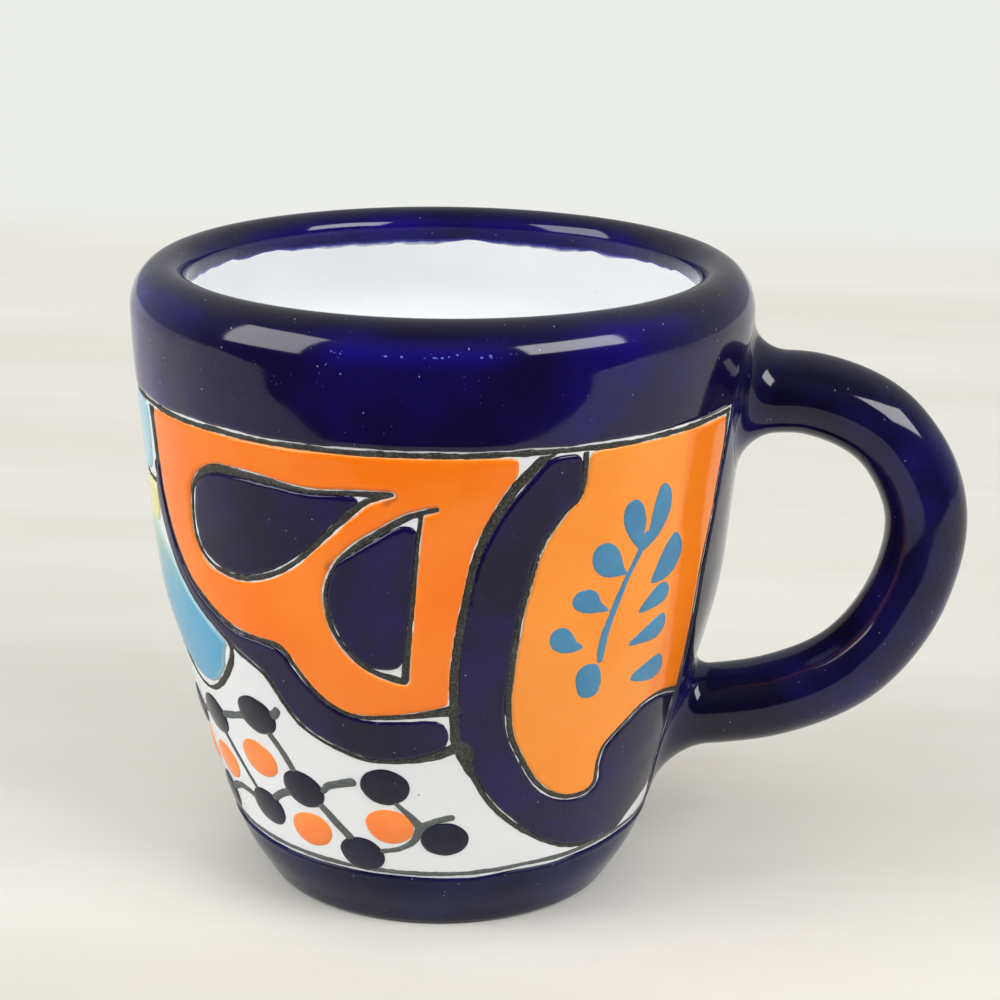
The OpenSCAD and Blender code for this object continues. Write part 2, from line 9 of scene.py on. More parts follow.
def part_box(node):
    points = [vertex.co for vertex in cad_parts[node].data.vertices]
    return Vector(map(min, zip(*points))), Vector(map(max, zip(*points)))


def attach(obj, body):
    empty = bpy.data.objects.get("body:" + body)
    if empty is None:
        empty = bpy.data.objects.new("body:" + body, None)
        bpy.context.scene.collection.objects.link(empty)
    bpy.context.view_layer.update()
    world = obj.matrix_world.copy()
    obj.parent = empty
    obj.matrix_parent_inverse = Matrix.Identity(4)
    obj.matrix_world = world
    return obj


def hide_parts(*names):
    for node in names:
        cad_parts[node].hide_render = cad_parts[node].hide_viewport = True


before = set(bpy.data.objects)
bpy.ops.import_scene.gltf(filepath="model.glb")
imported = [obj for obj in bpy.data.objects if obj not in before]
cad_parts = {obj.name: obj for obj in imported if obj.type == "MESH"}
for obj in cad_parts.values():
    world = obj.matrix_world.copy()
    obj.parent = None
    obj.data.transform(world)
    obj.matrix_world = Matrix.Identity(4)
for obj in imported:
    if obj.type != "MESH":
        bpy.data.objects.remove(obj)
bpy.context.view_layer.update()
mm = 0.001  # lengths are in millimetres where no note says metres, and this scales them to metres
print("frame loaded:", len(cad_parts), "nodes")

# the mug's driving sizes; the height and the rim come from the frame
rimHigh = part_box("rim_glaze")[1]
mug = {
    "height": rimHigh.z / mm,
    "rimRadius": rimHigh.x / mm,
    "footRadius": 25.0,
    "lipRise": 6.4,
    "lipReach": 5.0,
    "lipInnerRadius": 3.0,
    "wallThickness": 5.0,
    "floorHeight": 8.0,
    "floorCorner": 9.0,
    "whiteCoat": 0.35,
    "colourCoat": 0.3,
    "bareFoot": 1.0,
    "insideBand": 5.4,
    "rimBand": 17.0,
    "footLine": 10.0,
    "lineWidth": 1.0,
}
mug["coats"] = mug["whiteCoat"] + mug["colourCoat"]
lipBase = mug["height"] - mug["lipRise"]
crestRadius = mug["rimRadius"] - mug["lipReach"]
rimLine = mug["height"] - mug["rimBand"]
fieldHeight = rimLine - mug["footLine"]

# the outer wall: share of its height, and share of the way from the foot's radius to the rim's
wallShares = [
    (0, 0), (0.03, 0.09), (0.095, 0.25), (0.215, 0.43), (0.375, 0.63), (0.535, 0.81),
    (0.695, 0.89), (0.835, 0.95), (0.925, 0.985), (1, 1),
]


def smooth(points, steps, closed=False):
    # a smooth curve through the points, with this many steps between two of them
    p = np.array(points, float)
    count = len(p)
    line = []
    for i in range(count if closed else count - 1):
        near = np.arange(i - 1, i + 3)
        a, b, c, d = p[near % count] if closed else p[np.clip(near, 0, count - 1)]
        for step in range(steps):
            t = step / steps
            bend = 2 * a - 5 * b + 4 * c - d + t * (3 * (b - c) + d - a)
            line.append(b + 0.5 * t * (c - a + t * bend))
    if not closed:
        line.append(p[-1])
    return np.array(line)


wallLine = smooth([
    (h * lipBase, mug["footRadius"] + g * (mug["rimRadius"] - mug["footRadius"]))
    for h, g in wallShares
], 14)


def wallRadius(z):
    return np.interp(z, wallLine[:, 0], wallLine[:, 1])


def makeNoise(seed, side=24):
    # smooth noise from -1 to 1 on points in millimetres, with the size of one bump
    lattice = np.random.default_rng(seed).random((side, side, side)) * 2 - 1

    def noise(points, size):
        q = np.asarray(points, float) / size
        low = np.floor(q).astype(int)
        f = q - low
        f = f * f * (3 - 2 * f)
        total = 0
        for corner in range(8):
            step = [(corner >> axis) & 1 for axis in range(3)]
            cell = [(low[..., axis] + step[axis]) % side for axis in range(3)]
            weight = 1
            for axis in range(3):
                part = f[..., axis]
                weight = weight * (part if step[axis] else 1 - part)
            total = total + weight * lattice[cell[0], cell[1], cell[2]]
        return total

    return noise


wobble = makeNoise(11)
mergeGap = 0.002  # mm, points closer than this are one point
sliver = 0.0005  # mm, edges shorter than this are taken out


def newObject(name, mesh, material):
    for polygon in mesh.polygons:
        polygon.use_smooth = True
    mesh.materials.clear()
    mesh.materials.append(material)
    made = bpy.data.objects.new(name, mesh)
    bpy.context.scene.collection.objects.link(made)
    return made


def meshFrom(name, points, faces):
    # points in millimetres; faces of three or four corners
    mesh = bpy.data.meshes.new(name)
    mesh.from_pydata((np.asarray(points, float) * mm).tolist(), [], [list(map(int, f)) for f in faces])
    mesh.update()
    return mesh


def meshPoints(mesh):
    # the mesh's points in millimetres
    points = np.empty(len(mesh.vertices) * 3)
    mesh.vertices.foreach_get("co", points)
    return points.reshape(-1, 3) / mm


def movePoints(mesh, points):
    mesh.vertices.foreach_set("co", (points * mm).ravel())
    mesh.update()


def setAttribute(mesh, name, values):
    # one value at each point, which a material reads
    attribute = mesh.attributes.new(name, "FLOAT", "POINT")
    attribute.data.foreach_set("value", values.astype(np.float32))


def tidyMesh(mesh):
    # merges double points and turns every face outwards
    work = bmesh.new()
    work.from_mesh(mesh)
    bmesh.ops.remove_doubles(work, verts=work.verts, dist=mergeGap * mm)
    bmesh.ops.dissolve_degenerate(work, edges=work.edges, dist=sliver * mm)
    bmesh.ops.recalc_face_normals(work, faces=work.faces)
    work.to_mesh(mesh)
    work.free()
    return mesh


def dress(piece, node):
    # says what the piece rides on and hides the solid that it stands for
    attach(piece, "root")
    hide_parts(node)


def colour(red, green, blue):
    # a colour given as it shows on a screen, from 0 to 255
    share = [v / 255 for v in (red, green, blue)]
    return [v / 12.92 if v < 0.04045 else ((v + 0.055) / 1.055) ** 2.4 for v in share] + [1.0]


class Wire:
    # one output of a node, so that maths on it is written as plain Python
    def __init__(self, graph, socket):
        self.graph = graph
        self.socket = socket

    def __add__(self, other):
        return self.graph.maths("ADD", self, other)

    __radd__ = __add__

    def __sub__(self, other):
        return self.graph.maths("SUBTRACT", self, other)

    def __rsub__(self, other):
        return self.graph.maths("SUBTRACT", other, self)

    def __mul__(self, other):
        return self.graph.maths("MULTIPLY", self, other)

    __rmul__ = __mul__

    def __truediv__(self, other):
        return self.graph.maths("DIVIDE", self, other)

    def __pow__(self, other):
        return self.graph.maths("POWER", self, other)

    def siblings(self):
        # every output of the same node, by name
        return {socket.name: Wire(self.graph, socket) for socket in self.socket.node.outputs}


class Graph:
    # a node tree that is written as expressions
    def __init__(self, tree):
        self.tree = tree
        tree.nodes.clear()

    def node(self, kind, settings=None, inputs=None, output=0):
        # a node of this type, with its settings first and then a value or link for each socket
        made = self.tree.nodes.new(kind)
        for key, value in (settings or {}).items():
            setattr(made, key, value)
        for key, value in (inputs or {}).items():
            socket = made.inputs[key]
            if isinstance(value, Wire):
                self.tree.links.new(value.socket, socket)
            else:
                socket.default_value = value
        return Wire(self, made.outputs[output]) if len(made.outputs) else None

    def maths(self, operation, *values):
        return self.node("ShaderNodeMath", {"operation": operation}, dict(enumerate(values)))

    def vectors(self, operation, inputs, output=0):
        return self.node("ShaderNodeVectorMath", {"operation": operation}, inputs, output)

    def split(self, vector):
        # the three numbers of a vector
        return list(self.node("ShaderNodeSeparateXYZ", None, {"Vector": vector}).siblings().values())

    def join(self, x, y, z):
        return self.node("ShaderNodeCombineXYZ", None, {"X": x, "Y": y, "Z": z})

    def step(self, value, low, high):
        # 0 below low, 1 above high, smooth between them
        return self.node("ShaderNodeMapRange", {"interpolation_type": "SMOOTHSTEP", "clamp": True},
                         {0: value, 1: low, 2: high, 3: 0.0, 4: 1.0})

    def blend(self, share, one, two):
        # two colours mixed by a share from 0 to 1; each is a link or three screen values
        one, two = (value if isinstance(value, Wire) else colour(*value) for value in (one, two))
        return self.node("ShaderNodeMix", {"data_type": "RGBA", "clamp_factor": True},
                         {"Factor": share, 6: one, 7: two}, 2)

    def place(self):
        return self.node("ShaderNodeTexCoord", output="Object")

    def attribute(self, name):
        return self.node("ShaderNodeAttribute", {"attribute_name": name}, output="Fac")

    def noise(self, size, detail=2.0, rough=0.5):
        # noise from 0 to 1 with bumps of this size in millimetres
        return self.node("ShaderNodeTexNoise", {"noise_dimensions": "3D"}, {
            "Vector": self.place(), "Scale": 1 / (size * mm), "Detail": detail, "Roughness": rough,
        })

    def specks(self, size, reach):
        # 1 inside small round specks, about one in each cell of this size
        near = self.node("ShaderNodeTexVoronoi", {"feature": "F1"}, {
            "Vector": self.place(), "Scale": 1 / (size * mm), "Randomness": 1.0,
        })
        return 1 - self.step(near, reach * 0.6, reach)


def newMaterial(name):
    material = bpy.data.materials.new(name)
    material.use_nodes = True
    return material, Graph(material.node_tree)


def finishMaterial(graph, base, rough, settings, bump):
    # the shader at the end of each material: settings hold what is even all over, and bump is a
    # height and its depth in millimetres
    height, depth = bump
    normal = graph.node("ShaderNodeBump", None, {
        "Height": height, "Strength": 1.0, "Distance": depth * mm,
    })
    shader = graph.node("ShaderNodeBsdfPrincipled", None, {
        "Base Color": base, "Roughness": rough, **settings, "Normal": normal,
    })
    graph.node("ShaderNodeOutputMaterial", None, {"Surface": shader})


def uneven(graph, finish):
    # roughness that changes over patches: the least, how much more, and the size of a patch in mm
    least, more, size = finish["rough"]
    return least + more * graph.noise(size)


def paintEdge(graph, width):
    # 1 at the edge of a painted piece and 0 from this many mm inside it
    return 1 - graph.step(graph.attribute("inset"), 0.0, width)


# fired glazes: how each one looks in the thick, in the thin and at its edge. Sizes and widths are
# in mm, specks is how strong the flecks are, and each share says how much of a tint is laid on
glazeLooks = {
    "cobaltRim": {"thick": (17, 11, 52), "thin": (25, 13, 104), "patch": 26.0, "specks": 0.6, "ior": 1.42},
    # the handle's cobalt is the rim's glaze written darker: painted shade
    "cobaltHandle": {"thick": (14, 12, 38), "thin": (27, 22, 84), "patch": 18.0, "specks": 0.35, "ior": 1.42},
    "cobaltFoot": {"thick": (14, 15, 46), "thin": (24, 24, 72), "patch": 16.0, "specks": 0.4, "ior": 1.27},
    "cobaltDrop": {"thick": (15, 10, 40), "thin": (25, 15, 76), "edge": (24, 16, 60), "edgeWidth": 0.8,
                   "patch": 13.0, "specks": 0.5},
    "navy": {"thick": (15, 16, 36), "thin": (24, 26, 54), "edge": (62, 66, 96), "edgeWidth": 0.5,
             "patch": 7.0, "specks": 0.2},
    "orange": {"thick": (255, 133, 38), "thin": (254, 122, 20), "edge": (255, 172, 104), "edgeWidth": 0.25,
               "patch": 18.0, "specks": 0.1, "smudgeTint": (112, 66, 40),
               "smudges": [(0.5205, 0.906, 1.5), (0.514, 0.909, 1.0), (0.5765, 0.742, 1.7)]},  # u, v, mm
    # the amber turns a deeper orange next to the handle, between the two u values given: painted shade and a
    # painted reflection of the handle
    "amber": {"thick": (255, 154, 58), "thin": (252, 144, 38), "edge": (255, 190, 120), "edgeWidth": 0.25,
              "patch": 22.0, "specks": 0.1, "handleShade": (0.186, 0.2, (248, 126, 20))},  # u, u, tint
    "orangeDot": {"thick": (255, 146, 72), "thin": (255, 134, 58), "edge": (255, 206, 160), "edgeWidth": 0.4,
                  "patch": 5.0, "specks": 0.1},
    "teal": {"thick": (74, 138, 176), "thin": (66, 128, 168), "edge": (112, 154, 160), "edgeWidth": 0.12,
             "patch": 5.0, "specks": 0.1},
    "heart": {"thick": (236, 228, 136), "thin": (214, 222, 130), "edge": (240, 238, 190), "edgeWidth": 0.6,
              "patch": 6.0, "specks": 0.1},
}
glazeFinish = {
    "rough": (0.05, 0.08, 4.0),
    "ior": 1.38,
    "rippleSize": 9.0,
    "ripple": 0.14,
    "clouds": (0.35, 0.68),  # the noise is thick glaze below these and thin above
    "edgeShare": 0.85,
    "handleShadeShare": 0.8,
    "smudgeShare": 0.75,
    "smudgeCore": 0.2,  # share of a smudge's size that is fully dark
    "smudgeGrain": 1.2,
    "smudgeRagged": 0.8,
}
# pairs are the size of a cell in mm and the share of it that a fleck reaches
flecks = {"large": (2.3, 0.055), "fine": (0.95, 0.075), "fineShare": 0.7, "patch": 7.0,
          "patchRange": (0.4, 0.7), "tint": (196, 196, 216)}


def glazeBody(graph, look, finish):
    # thick and thin glaze in soft patches
    depth = graph.step(graph.noise(look["patch"], 3.0, 0.55), *finish["clouds"])
    return graph.blend(depth, look["thick"], look["thin"])


def flecked(graph, body, strength):
    # pale pinholes, a few large ones and many fine ones
    large = graph.specks(*flecks["large"]) * strength
    patches = graph.step(graph.noise(flecks["patch"]), *flecks["patchRange"])
    fine = graph.specks(*flecks["fine"]) * patches * (strength * flecks["fineShare"])
    return graph.blend(graph.maths("MAXIMUM", large, fine), body, flecks["tint"])


def glazeMaterial(name, label):
    look = glazeLooks[name]
    finish = glazeFinish
    material, graph = newMaterial(label)
    body = glazeBody(graph, look, finish)
    # painted shade and painted reflection of the handle: a deeper orange strip next to it
    if "handleShade" in look:
        x, y = graph.split(graph.place())[:2]
        turn = graph.maths("ABSOLUTE", graph.maths("ARCTAN2", y, x)) / math.pi
        low, high, tint = look["handleShade"]
        body = graph.blend((1 - graph.step(turn, low, high)) * finish["handleShadeShare"], body, tint)
    for u, v, size in look.get("smudges", []):
        height = mug["footLine"] + v * fieldHeight
        radius = wallRadius(height)
        turn = math.pi * u
        spot = (radius * math.cos(turn) * mm, -radius * math.sin(turn) * mm, height * mm)
        away = graph.vectors("DISTANCE", {0: graph.place(), 1: spot}, 1) / mm
        away = away + finish["smudgeRagged"] * (graph.noise(finish["smudgeGrain"]) - 0.5)
        smudge = 1 - graph.step(away, finish["smudgeCore"] * size, size)
        body = graph.blend(smudge * finish["smudgeShare"], body, look["smudgeTint"])
    edge = paintEdge(graph, look["edgeWidth"])
    body = graph.blend(edge * finish["edgeShare"], body, look["edge"])
    base = flecked(graph, body, look["specks"])
    ripple = graph.noise(finish["rippleSize"], 1.0)
    finishMaterial(graph, base, uneven(graph, finish), {"IOR": finish["ior"]}, (ripple, finish["ripple"]))
    return material


# the very top of the lip is dark, and below it, along the front, a painted highlight: a brighter blue line
# with pale specks.
# Heights are mm under the top, and the line runs between two angles round the axis
lipLook = {
    "darkTint": (9, 8, 20),
    "darkFade": (0.2, 2.4),
    "darkShare": 0.8,
    "under": 3.85,
    "sway": 0.4,
    "swaySize": 9.0,
    "from": -1.86,
    "fromFade": 0.12,
    "to": -1.2,
    "toFade": 0.2,
    "outside": (1, 2),  # mm outside the lip's crest
    "highlightBlue": (22, 13, 118),
    "highlightBlueFade": (0.1, 2.4),
    "highlightBlueShare": 0.6,
    "highlightSpecks": (0.75, 0.34),
    "highlightSpeckTint": (120, 132, 236),
    "highlightSpeckFade": (0.16, 0.34),
    "highlightSpeckShare": 0.85,
}


def lipDetail(graph, body):
    look = lipLook
    x, y, z = graph.split(graph.place())
    under = mug["height"] - z / mm
    dark = (1 - graph.step(under, *look["darkFade"])) * look["darkShare"]
    body = graph.blend(dark, body, look["darkTint"])
    turn = graph.maths("ARCTAN2", y, x)
    radius = (x * x + y * y) ** 0.5 / mm
    start = graph.step(turn, look["from"], look["from"] + look["fromFade"])
    end = 1 - graph.step(turn, look["to"] - look["toFade"], look["to"])
    near, far = look["outside"]
    where = start * end * graph.step(radius, crestRadius + near, crestRadius + far)
    away = under - look["under"] + look["sway"] * (graph.noise(look["swaySize"], 1.0) - 0.5)
    away = graph.maths("ABSOLUTE", away)
    # painted highlight along the front of the lip: a brighter blue line, then pale specks on it
    highlightBlue = (1 - graph.step(away, *look["highlightBlueFade"])) * where
    body = graph.blend(highlightBlue * look["highlightBlueShare"], body, look["highlightBlue"])
    highlightSpecks = graph.specks(*look["highlightSpecks"]) * (1 - graph.step(away, *look["highlightSpeckFade"])) * where
    return graph.blend(highlightSpecks * look["highlightSpeckShare"], body, look["highlightSpeckTint"])


cobaltFinish = {
    "rough": (0.04, 0.08, 4.0),
    "rippleSize": 12.0,
    "ripple": 0.22,
    "clouds": (0.4, 0.7),
    "halo": (58, 56, 150),
    "haloFade": (0.45, 0.75),  # shares of the way to the band's edge inside the bowl
    "bare": (214, 216, 238),
    "bareFade": (0.75, 1.0),
    "ragged": 0.3,
    "streak": 1.6,
}


def cobaltMaterial(name):
    # cobalt on the bands and the handle; inside the lip it thins out to white
    look = glazeLooks[name]
    finish = cobaltFinish
    material, graph = newMaterial(name + "Glaze")
    streaks = graph.noise(finish["streak"], 3.0, 0.6) - 0.5
    thinned = graph.attribute("thinned") + finish["ragged"] * streaks
    halo = graph.step(thinned, *finish["haloFade"])
    bare = graph.step(thinned, *finish["bareFade"])
    thin = graph.blend(halo, glazeBody(graph, look, finish), finish["halo"])
    if name == "cobaltRim":
        thin = lipDetail(graph, thin)
    base = graph.blend(bare, flecked(graph, thin, look["specks"]), finish["bare"])
    ripple = graph.noise(finish["rippleSize"], 1.0)
    finishMaterial(graph, base, uneven(graph, finish), {"IOR": look["ior"]}, (ripple, finish["ripple"]))
    return material


# the tuples for clouds, mottle, grain and wear are a noise's size in mm, its detail and roughness
whiteFinish = {
    "rough": (0.08, 0.12, 5.0),
    "ior": 1.5,
    "clouds": (16.0, 3.0, 0.6),
    "ripple": 0.22,
    "rippleSize": 8.0,
    "fineRipple": 0.15,
    "fineSize": 1.6,
    "pinholes": (6.5, 0.03),
    "pinholeShare": 0.7,
    "pinholeTint": (120, 112, 104),
}


def whiteMaterial(name, pale, shade):
    finish = whiteFinish
    material, graph = newMaterial(name)
    body = graph.blend(graph.noise(*finish["clouds"]), pale, shade)
    pinholes = graph.specks(*finish["pinholes"]) * finish["pinholeShare"]
    base = graph.blend(pinholes, body, finish["pinholeTint"])
    ripple = graph.noise(finish["rippleSize"]) + finish["fineRipple"] * graph.noise(finish["fineSize"])
    finishMaterial(graph, base, uneven(graph, finish), {"IOR": finish["ior"]}, (ripple, finish["ripple"]))
    return material


# the petals are turquoise and run out to a pale yellow towards their upper ends; heights are in mm
petalLook = {
    "lower": [(64, 150, 194), (90, 176, 210)],
    "patch": 9.0,
    "yellow": (198, 214, 140),
    "yellowFrom": (46.0, 62.0),
    "sway": 6,
    "swaySize": 7.0,
    "top": (150, 205, 225),
    "topFrom": (61.0, 64.0),
    "edge": (205, 228, 232),
    "edgeWidth": 0.6,
    "edgeShare": 0.6,
    "rough": (0.07, 0.1, 4.0),
    "ior": 1.45,
    "rippleSize": 8.0,
    "ripple": 0.25,
}


def petalMaterial():
    look = petalLook
    material, graph = newMaterial("turquoiseEnamel")
    height = graph.split(graph.place())[2] / mm
    sway = look["sway"] * (graph.noise(look["swaySize"]) - 0.5)
    yellow = graph.step(height + sway, *look["yellowFrom"])
    lower = graph.blend(graph.noise(look["patch"]), *look["lower"])
    mixed = graph.blend(yellow, lower, look["yellow"])
    topped = graph.blend(graph.step(height, *look["topFrom"]), mixed, look["top"])
    base = graph.blend(paintEdge(graph, look["edgeWidth"]) * look["edgeShare"], topped, look["edge"])
    ripple = graph.noise(look["rippleSize"])
    finishMaterial(graph, base, uneven(graph, look), {"IOR": look["ior"]}, (ripple, look["ripple"]))
    return material


# dry, speckled lines of oxide
lineFinish = {
    "grain": (0.28, 3.0, 0.75),
    "grainRange": (0.48, 0.68),
    "grainShare": 0.75,
    "wear": (3.0, 3.0, 0.6),
    "wearRange": (0.55, 0.8),
    "wearShare": 0.35,
    "wearTint": (120, 124, 116),
    "rough": 0.45,
    "roughGrain": 0.25,
    "specular": 0.35,
    "tooth": 0.08,
    "toothSize": (0.4, 3.0),
}


def lineMaterial(name, dark, light):
    finish = lineFinish
    material, graph = newMaterial(name)
    grain = graph.step(graph.noise(*finish["grain"]), *finish["grainRange"])
    wear = graph.step(graph.noise(*finish["wear"]), *finish["wearRange"])
    body = graph.blend(grain * finish["grainShare"], dark, light)
    base = graph.blend(wear * finish["wearShare"], body, finish["wearTint"])
    rough = finish["rough"] + finish["roughGrain"] * grain
    finishMaterial(graph, base, rough, {"Specular IOR Level": finish["specular"]},
                   (graph.noise(*finish["toothSize"]), finish["tooth"]))
    return material


clayLook = {
    "dark": (182, 118, 80),
    "light": (206, 146, 106),
    "mottle": (5.0, 4.0, 0.6),
    "grit": (1.4, 0.16),
    "gritShare": 0.5,
    "gritTint": (120, 74, 52),
    "rough": 0.82,
    "roughMore": 0.1,
    "specular": 0.25,
    "tooth": 0.12,
    "toothSize": (0.8, 4.0, 0.65),
}


def clayMaterial():
    look = clayLook
    material, graph = newMaterial("bareClay")
    mottle = graph.noise(*look["mottle"])
    body = graph.blend(mottle, look["dark"], look["light"])
    base = graph.blend(graph.specks(*look["grit"]) * look["gritShare"], body, look["gritTint"])
    rough = look["rough"] + look["roughMore"] * mottle
    finishMaterial(graph, base, rough, {"Specular IOR Level": look["specular"]},
                   (graph.noise(*look["toothSize"]), look["tooth"]))
    return material


materials = {
    "rim": cobaltMaterial("cobaltRim"),
    "handle": cobaltMaterial("cobaltHandle"),
    "foot": cobaltMaterial("cobaltFoot"),
    "white": whiteMaterial("whiteTinGlaze", (238, 240, 241), (229, 232, 236)),
    # the bowl has the same white tin glaze as the outside, written paler here: painted light on the inside
    "bowl": whiteMaterial("brightenedBowlGlaze", (249, 250, 250), (241, 243, 246)),
    "petal": petalMaterial(),
    "charcoal": lineMaterial("charcoalLine", (36, 36, 35), (112, 112, 104)),
    "grey": lineMaterial("greyLine", (78, 84, 82), (130, 136, 132)),
    "clay": clayMaterial(),
}
enamelLabels = {
    "cobaltDrop": "cobaltDropEnamel",
    "navy": "navyEnamel",
    "orange": "orangeEnamel",
    "amber": "amberEnamel",
    "orangeDot": "orangeDotEnamel",
    "teal": "tealEnamel",
    "heart": "yellowEnamel",
}
for key, label in enamelLabels.items():
    materials[key] = glazeMaterial(key, label)
print("materials made:", len(materials))

for nodeName in ("clay_body", "clay_handle", "upper_handle_slip", "lower_handle_slip"):
    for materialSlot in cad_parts[nodeName].material_slots:
        materialSlot.material = materials["clay"]


def newTree(name, source, result, inputs):
    # a Geometry Nodes tree with named inputs: its graph, its links and the inputs' identifiers
    tree = bpy.data.node_groups.new(name, "GeometryNodeTree")
    face = tree.interface
    face.new_socket(name=source, in_out="INPUT", socket_type="NodeSocketGeometry")
    sockets = {key: face.new_socket(name=key, in_out="INPUT", socket_type="NodeSocket" + kind).identifier
               for key, kind in inputs.items()}
    face.new_socket(name=result, in_out="OUTPUT", socket_type="NodeSocketGeometry")
    graph = Graph(tree)
    return graph, graph.node("NodeGroupInput").siblings(), sockets


# the turned coats: a profile is spun round the mug's axis by one Geometry Nodes tree
turning = {
    "stepsRound": 360,
    "wobble": 0.16,
    "wobbleSize": 30.0,
    "wobbleMiddle": 0.62,  # above a half, so the wobble leans inwards and stays in the CAD box
    "pointGap": 0.5,
    "deepGap": 2.4,
    "lipOuterSteps": 18,
    "lipInnerSteps": 14,
    "cornerSteps": 10,
}


def buildTurningTree():
    graph, given, sockets = newTree("turnedCoat", "Profile", "Coat", {
        "Steps Round": "Int", "Rows": "Int", "Wobble": "Float", "Fineness": "Float", "Material": "Material",
    })
    grid = graph.node("GeometryNodeMeshGrid", None, {
        "Size X": 1.0, "Size Y": 1.0, "Vertices X": given["Steps Round"] + 1, "Vertices Y": given["Rows"],
    })
    along, across = graph.split(graph.node("GeometryNodeInputPosition"))[:2]
    turn = (along + 0.5) * (2 * math.pi)
    row = graph.maths("ROUND", (across + 0.5) * (given["Rows"] - 1))
    onProfile = graph.node("GeometryNodeSampleIndex", {"data_type": "FLOAT_VECTOR", "domain": "POINT"}, {
        "Geometry": given["Profile"], "Value": graph.node("GeometryNodeInputPosition"), "Index": row,
    })
    radius, flat, height = graph.split(onProfile)
    spun = graph.join(radius * graph.maths("COSINE", turn), radius * graph.maths("SINE", turn), height)
    turned = graph.node("GeometryNodeSetPosition", None, {"Geometry": grid, "Position": spun})
    merged = graph.node("GeometryNodeMergeByDistance", None, {
        "Geometry": turned, "Distance": mergeGap * mm,
    })
    place = graph.node("GeometryNodeInputPosition")
    lump = graph.node("ShaderNodeTexNoise", {"noise_dimensions": "3D"}, {
        "Vector": place, "Scale": given["Fineness"], "Detail": 1.0,
    })
    outward = graph.vectors("NORMALIZE", {0: graph.vectors("MULTIPLY", {0: place, 1: (1.0, 1.0, 0.0)})})
    reach = (lump - turning["wobbleMiddle"]) * given["Wobble"]
    offset = graph.vectors("SCALE", {0: outward, "Scale": reach})
    wavy = graph.node("GeometryNodeSetPosition", None, {"Geometry": merged, "Offset": offset})
    shaded = graph.node("GeometryNodeSetShadeSmooth", None, {"Geometry": wavy})
    real = graph.node("GeometryNodeRealizeInstances", None, {"Geometry": shaded})
    painted = graph.node("GeometryNodeSetMaterial", None, {"Geometry": real, "Material": given["Material"]})
    graph.node("NodeGroupOutput", None, {"Coat": painted})
    return graph.tree, sockets


def runTree(name, source, tree, sockets, values, material):
    # runs a tree on a source mesh and keeps the result as a plain mesh
    holder = bpy.data.objects.new(name + "Source", source)
    bpy.context.scene.collection.objects.link(holder)
    modifier = holder.modifiers.new("shape", "NODES")
    modifier.node_group = tree
    for key, value in values.items():
        modifier[sockets[key]] = value
    modifier[sockets["Material"]] = material
    bpy.context.view_layer.update()
    depsgraph = bpy.context.evaluated_depsgraph_get()
    mesh = bpy.data.meshes.new_from_object(holder.evaluated_get(depsgraph))
    mesh.name = name
    holder.modifiers.remove(modifier)
    bpy.data.objects.remove(holder)
    return mesh


turnTree, turnSockets = buildTurningTree()


def spread(line, gap):
    # the same line with points about this far apart
    line = np.array(line, float)
    run = np.concatenate([[0], np.cumsum(np.linalg.norm(np.diff(line, axis=0), axis=1))])
    count = max(2, int(run[-1] / gap) + 1)
    return np.stack([np.interp(np.linspace(0, run[-1], count), run, line[:, k]) for k in (0, 1)], 1)


def arc(centre, radii, start, end, steps):
    turn = np.radians(np.linspace(start, end, steps + 1))
    return [(centre[0] + radii[0] * math.cos(a), centre[1] + radii[1] * math.sin(a)) for a in turn]


def wallPart(low, high, back):
    heights = [low] + [z for z in wallLine[:, 0] if low < z < high] + [high]
    return [(wallRadius(z) - back, z) for z in heights]


lipEye = mug["height"] - mug["lipInnerRadius"]
cornerLean = 72  # degrees of the floor's corner, up to where the inside wall starts
innerFoot = mug["floorHeight"] + mug["floorCorner"] * (1 - math.cos(math.radians(cornerLean)))
innerTop = 0.88 * lipEye  # above this the inside wall bends over to the lip
innerLine = smooth(
    [(z, wallRadius(z) - mug["wallThickness"]) for z in np.linspace(innerFoot, innerTop, 11)]
    + [(lipEye, crestRadius - mug["lipInnerRadius"])], 6)


# each part below is a run of the profile, this many mm under the finished surface
def lipOuterPart(back):
    radii = (mug["lipReach"] - back, mug["lipRise"] - back)
    return arc((crestRadius, lipBase), radii, 0, 90, turning["lipOuterSteps"])[1:]


def lipInnerPart(back):
    inner = mug["lipInnerRadius"] - back
    return arc((crestRadius, lipEye), (inner, inner), 90, 180, turning["lipInnerSteps"])[1:]


def innerPart(back, stop=0.0):
    points = [(r + back, z) for z, r in innerLine[::-1] if z > stop]
    if stop > innerLine[0, 0]:
        points.append((np.interp(stop, innerLine[:, 0], innerLine[:, 1]) + back, stop))
    return points


def floorPart(back):
    eye = innerLine[0, 1] - mug["floorCorner"] * math.sin(math.radians(cornerLean))
    middle = (eye, mug["floorHeight"] + mug["floorCorner"])
    radius = mug["floorCorner"] + back
    bend = arc(middle, (radius, radius), cornerLean - 90, -90, turning["cornerSteps"])[1:]
    return bend + [(0.0, mug["floorHeight"] - back)]


def turnedCoat(name, shallow, deep, material):
    shallow = spread(shallow, turning["pointGap"])
    ring = np.concatenate([shallow, spread(deep, turning["deepGap"])[::-1], shallow[:1]])
    source = meshFrom(name + "Profile", [(r, 0, z) for r, z in ring], [])
    mesh = runTree(name, source, turnTree, turnSockets, {
        "Steps Round": turning["stepsRound"], "Rows": len(ring), "Wobble": turning["wobble"] * mm,
        "Fineness": 1 / (turning["wobbleSize"] * mm),
    }, material)
    return newObject(name, tidyMesh(mesh), material)


print("turning the coats")
colourBack = mug["colourCoat"]
deepBack = mug["coats"]


def insideWall(back):
    crest = [(crestRadius, mug["height"] - back)]
    return crest + lipInnerPart(back) + innerPart(back) + floorPart(back)


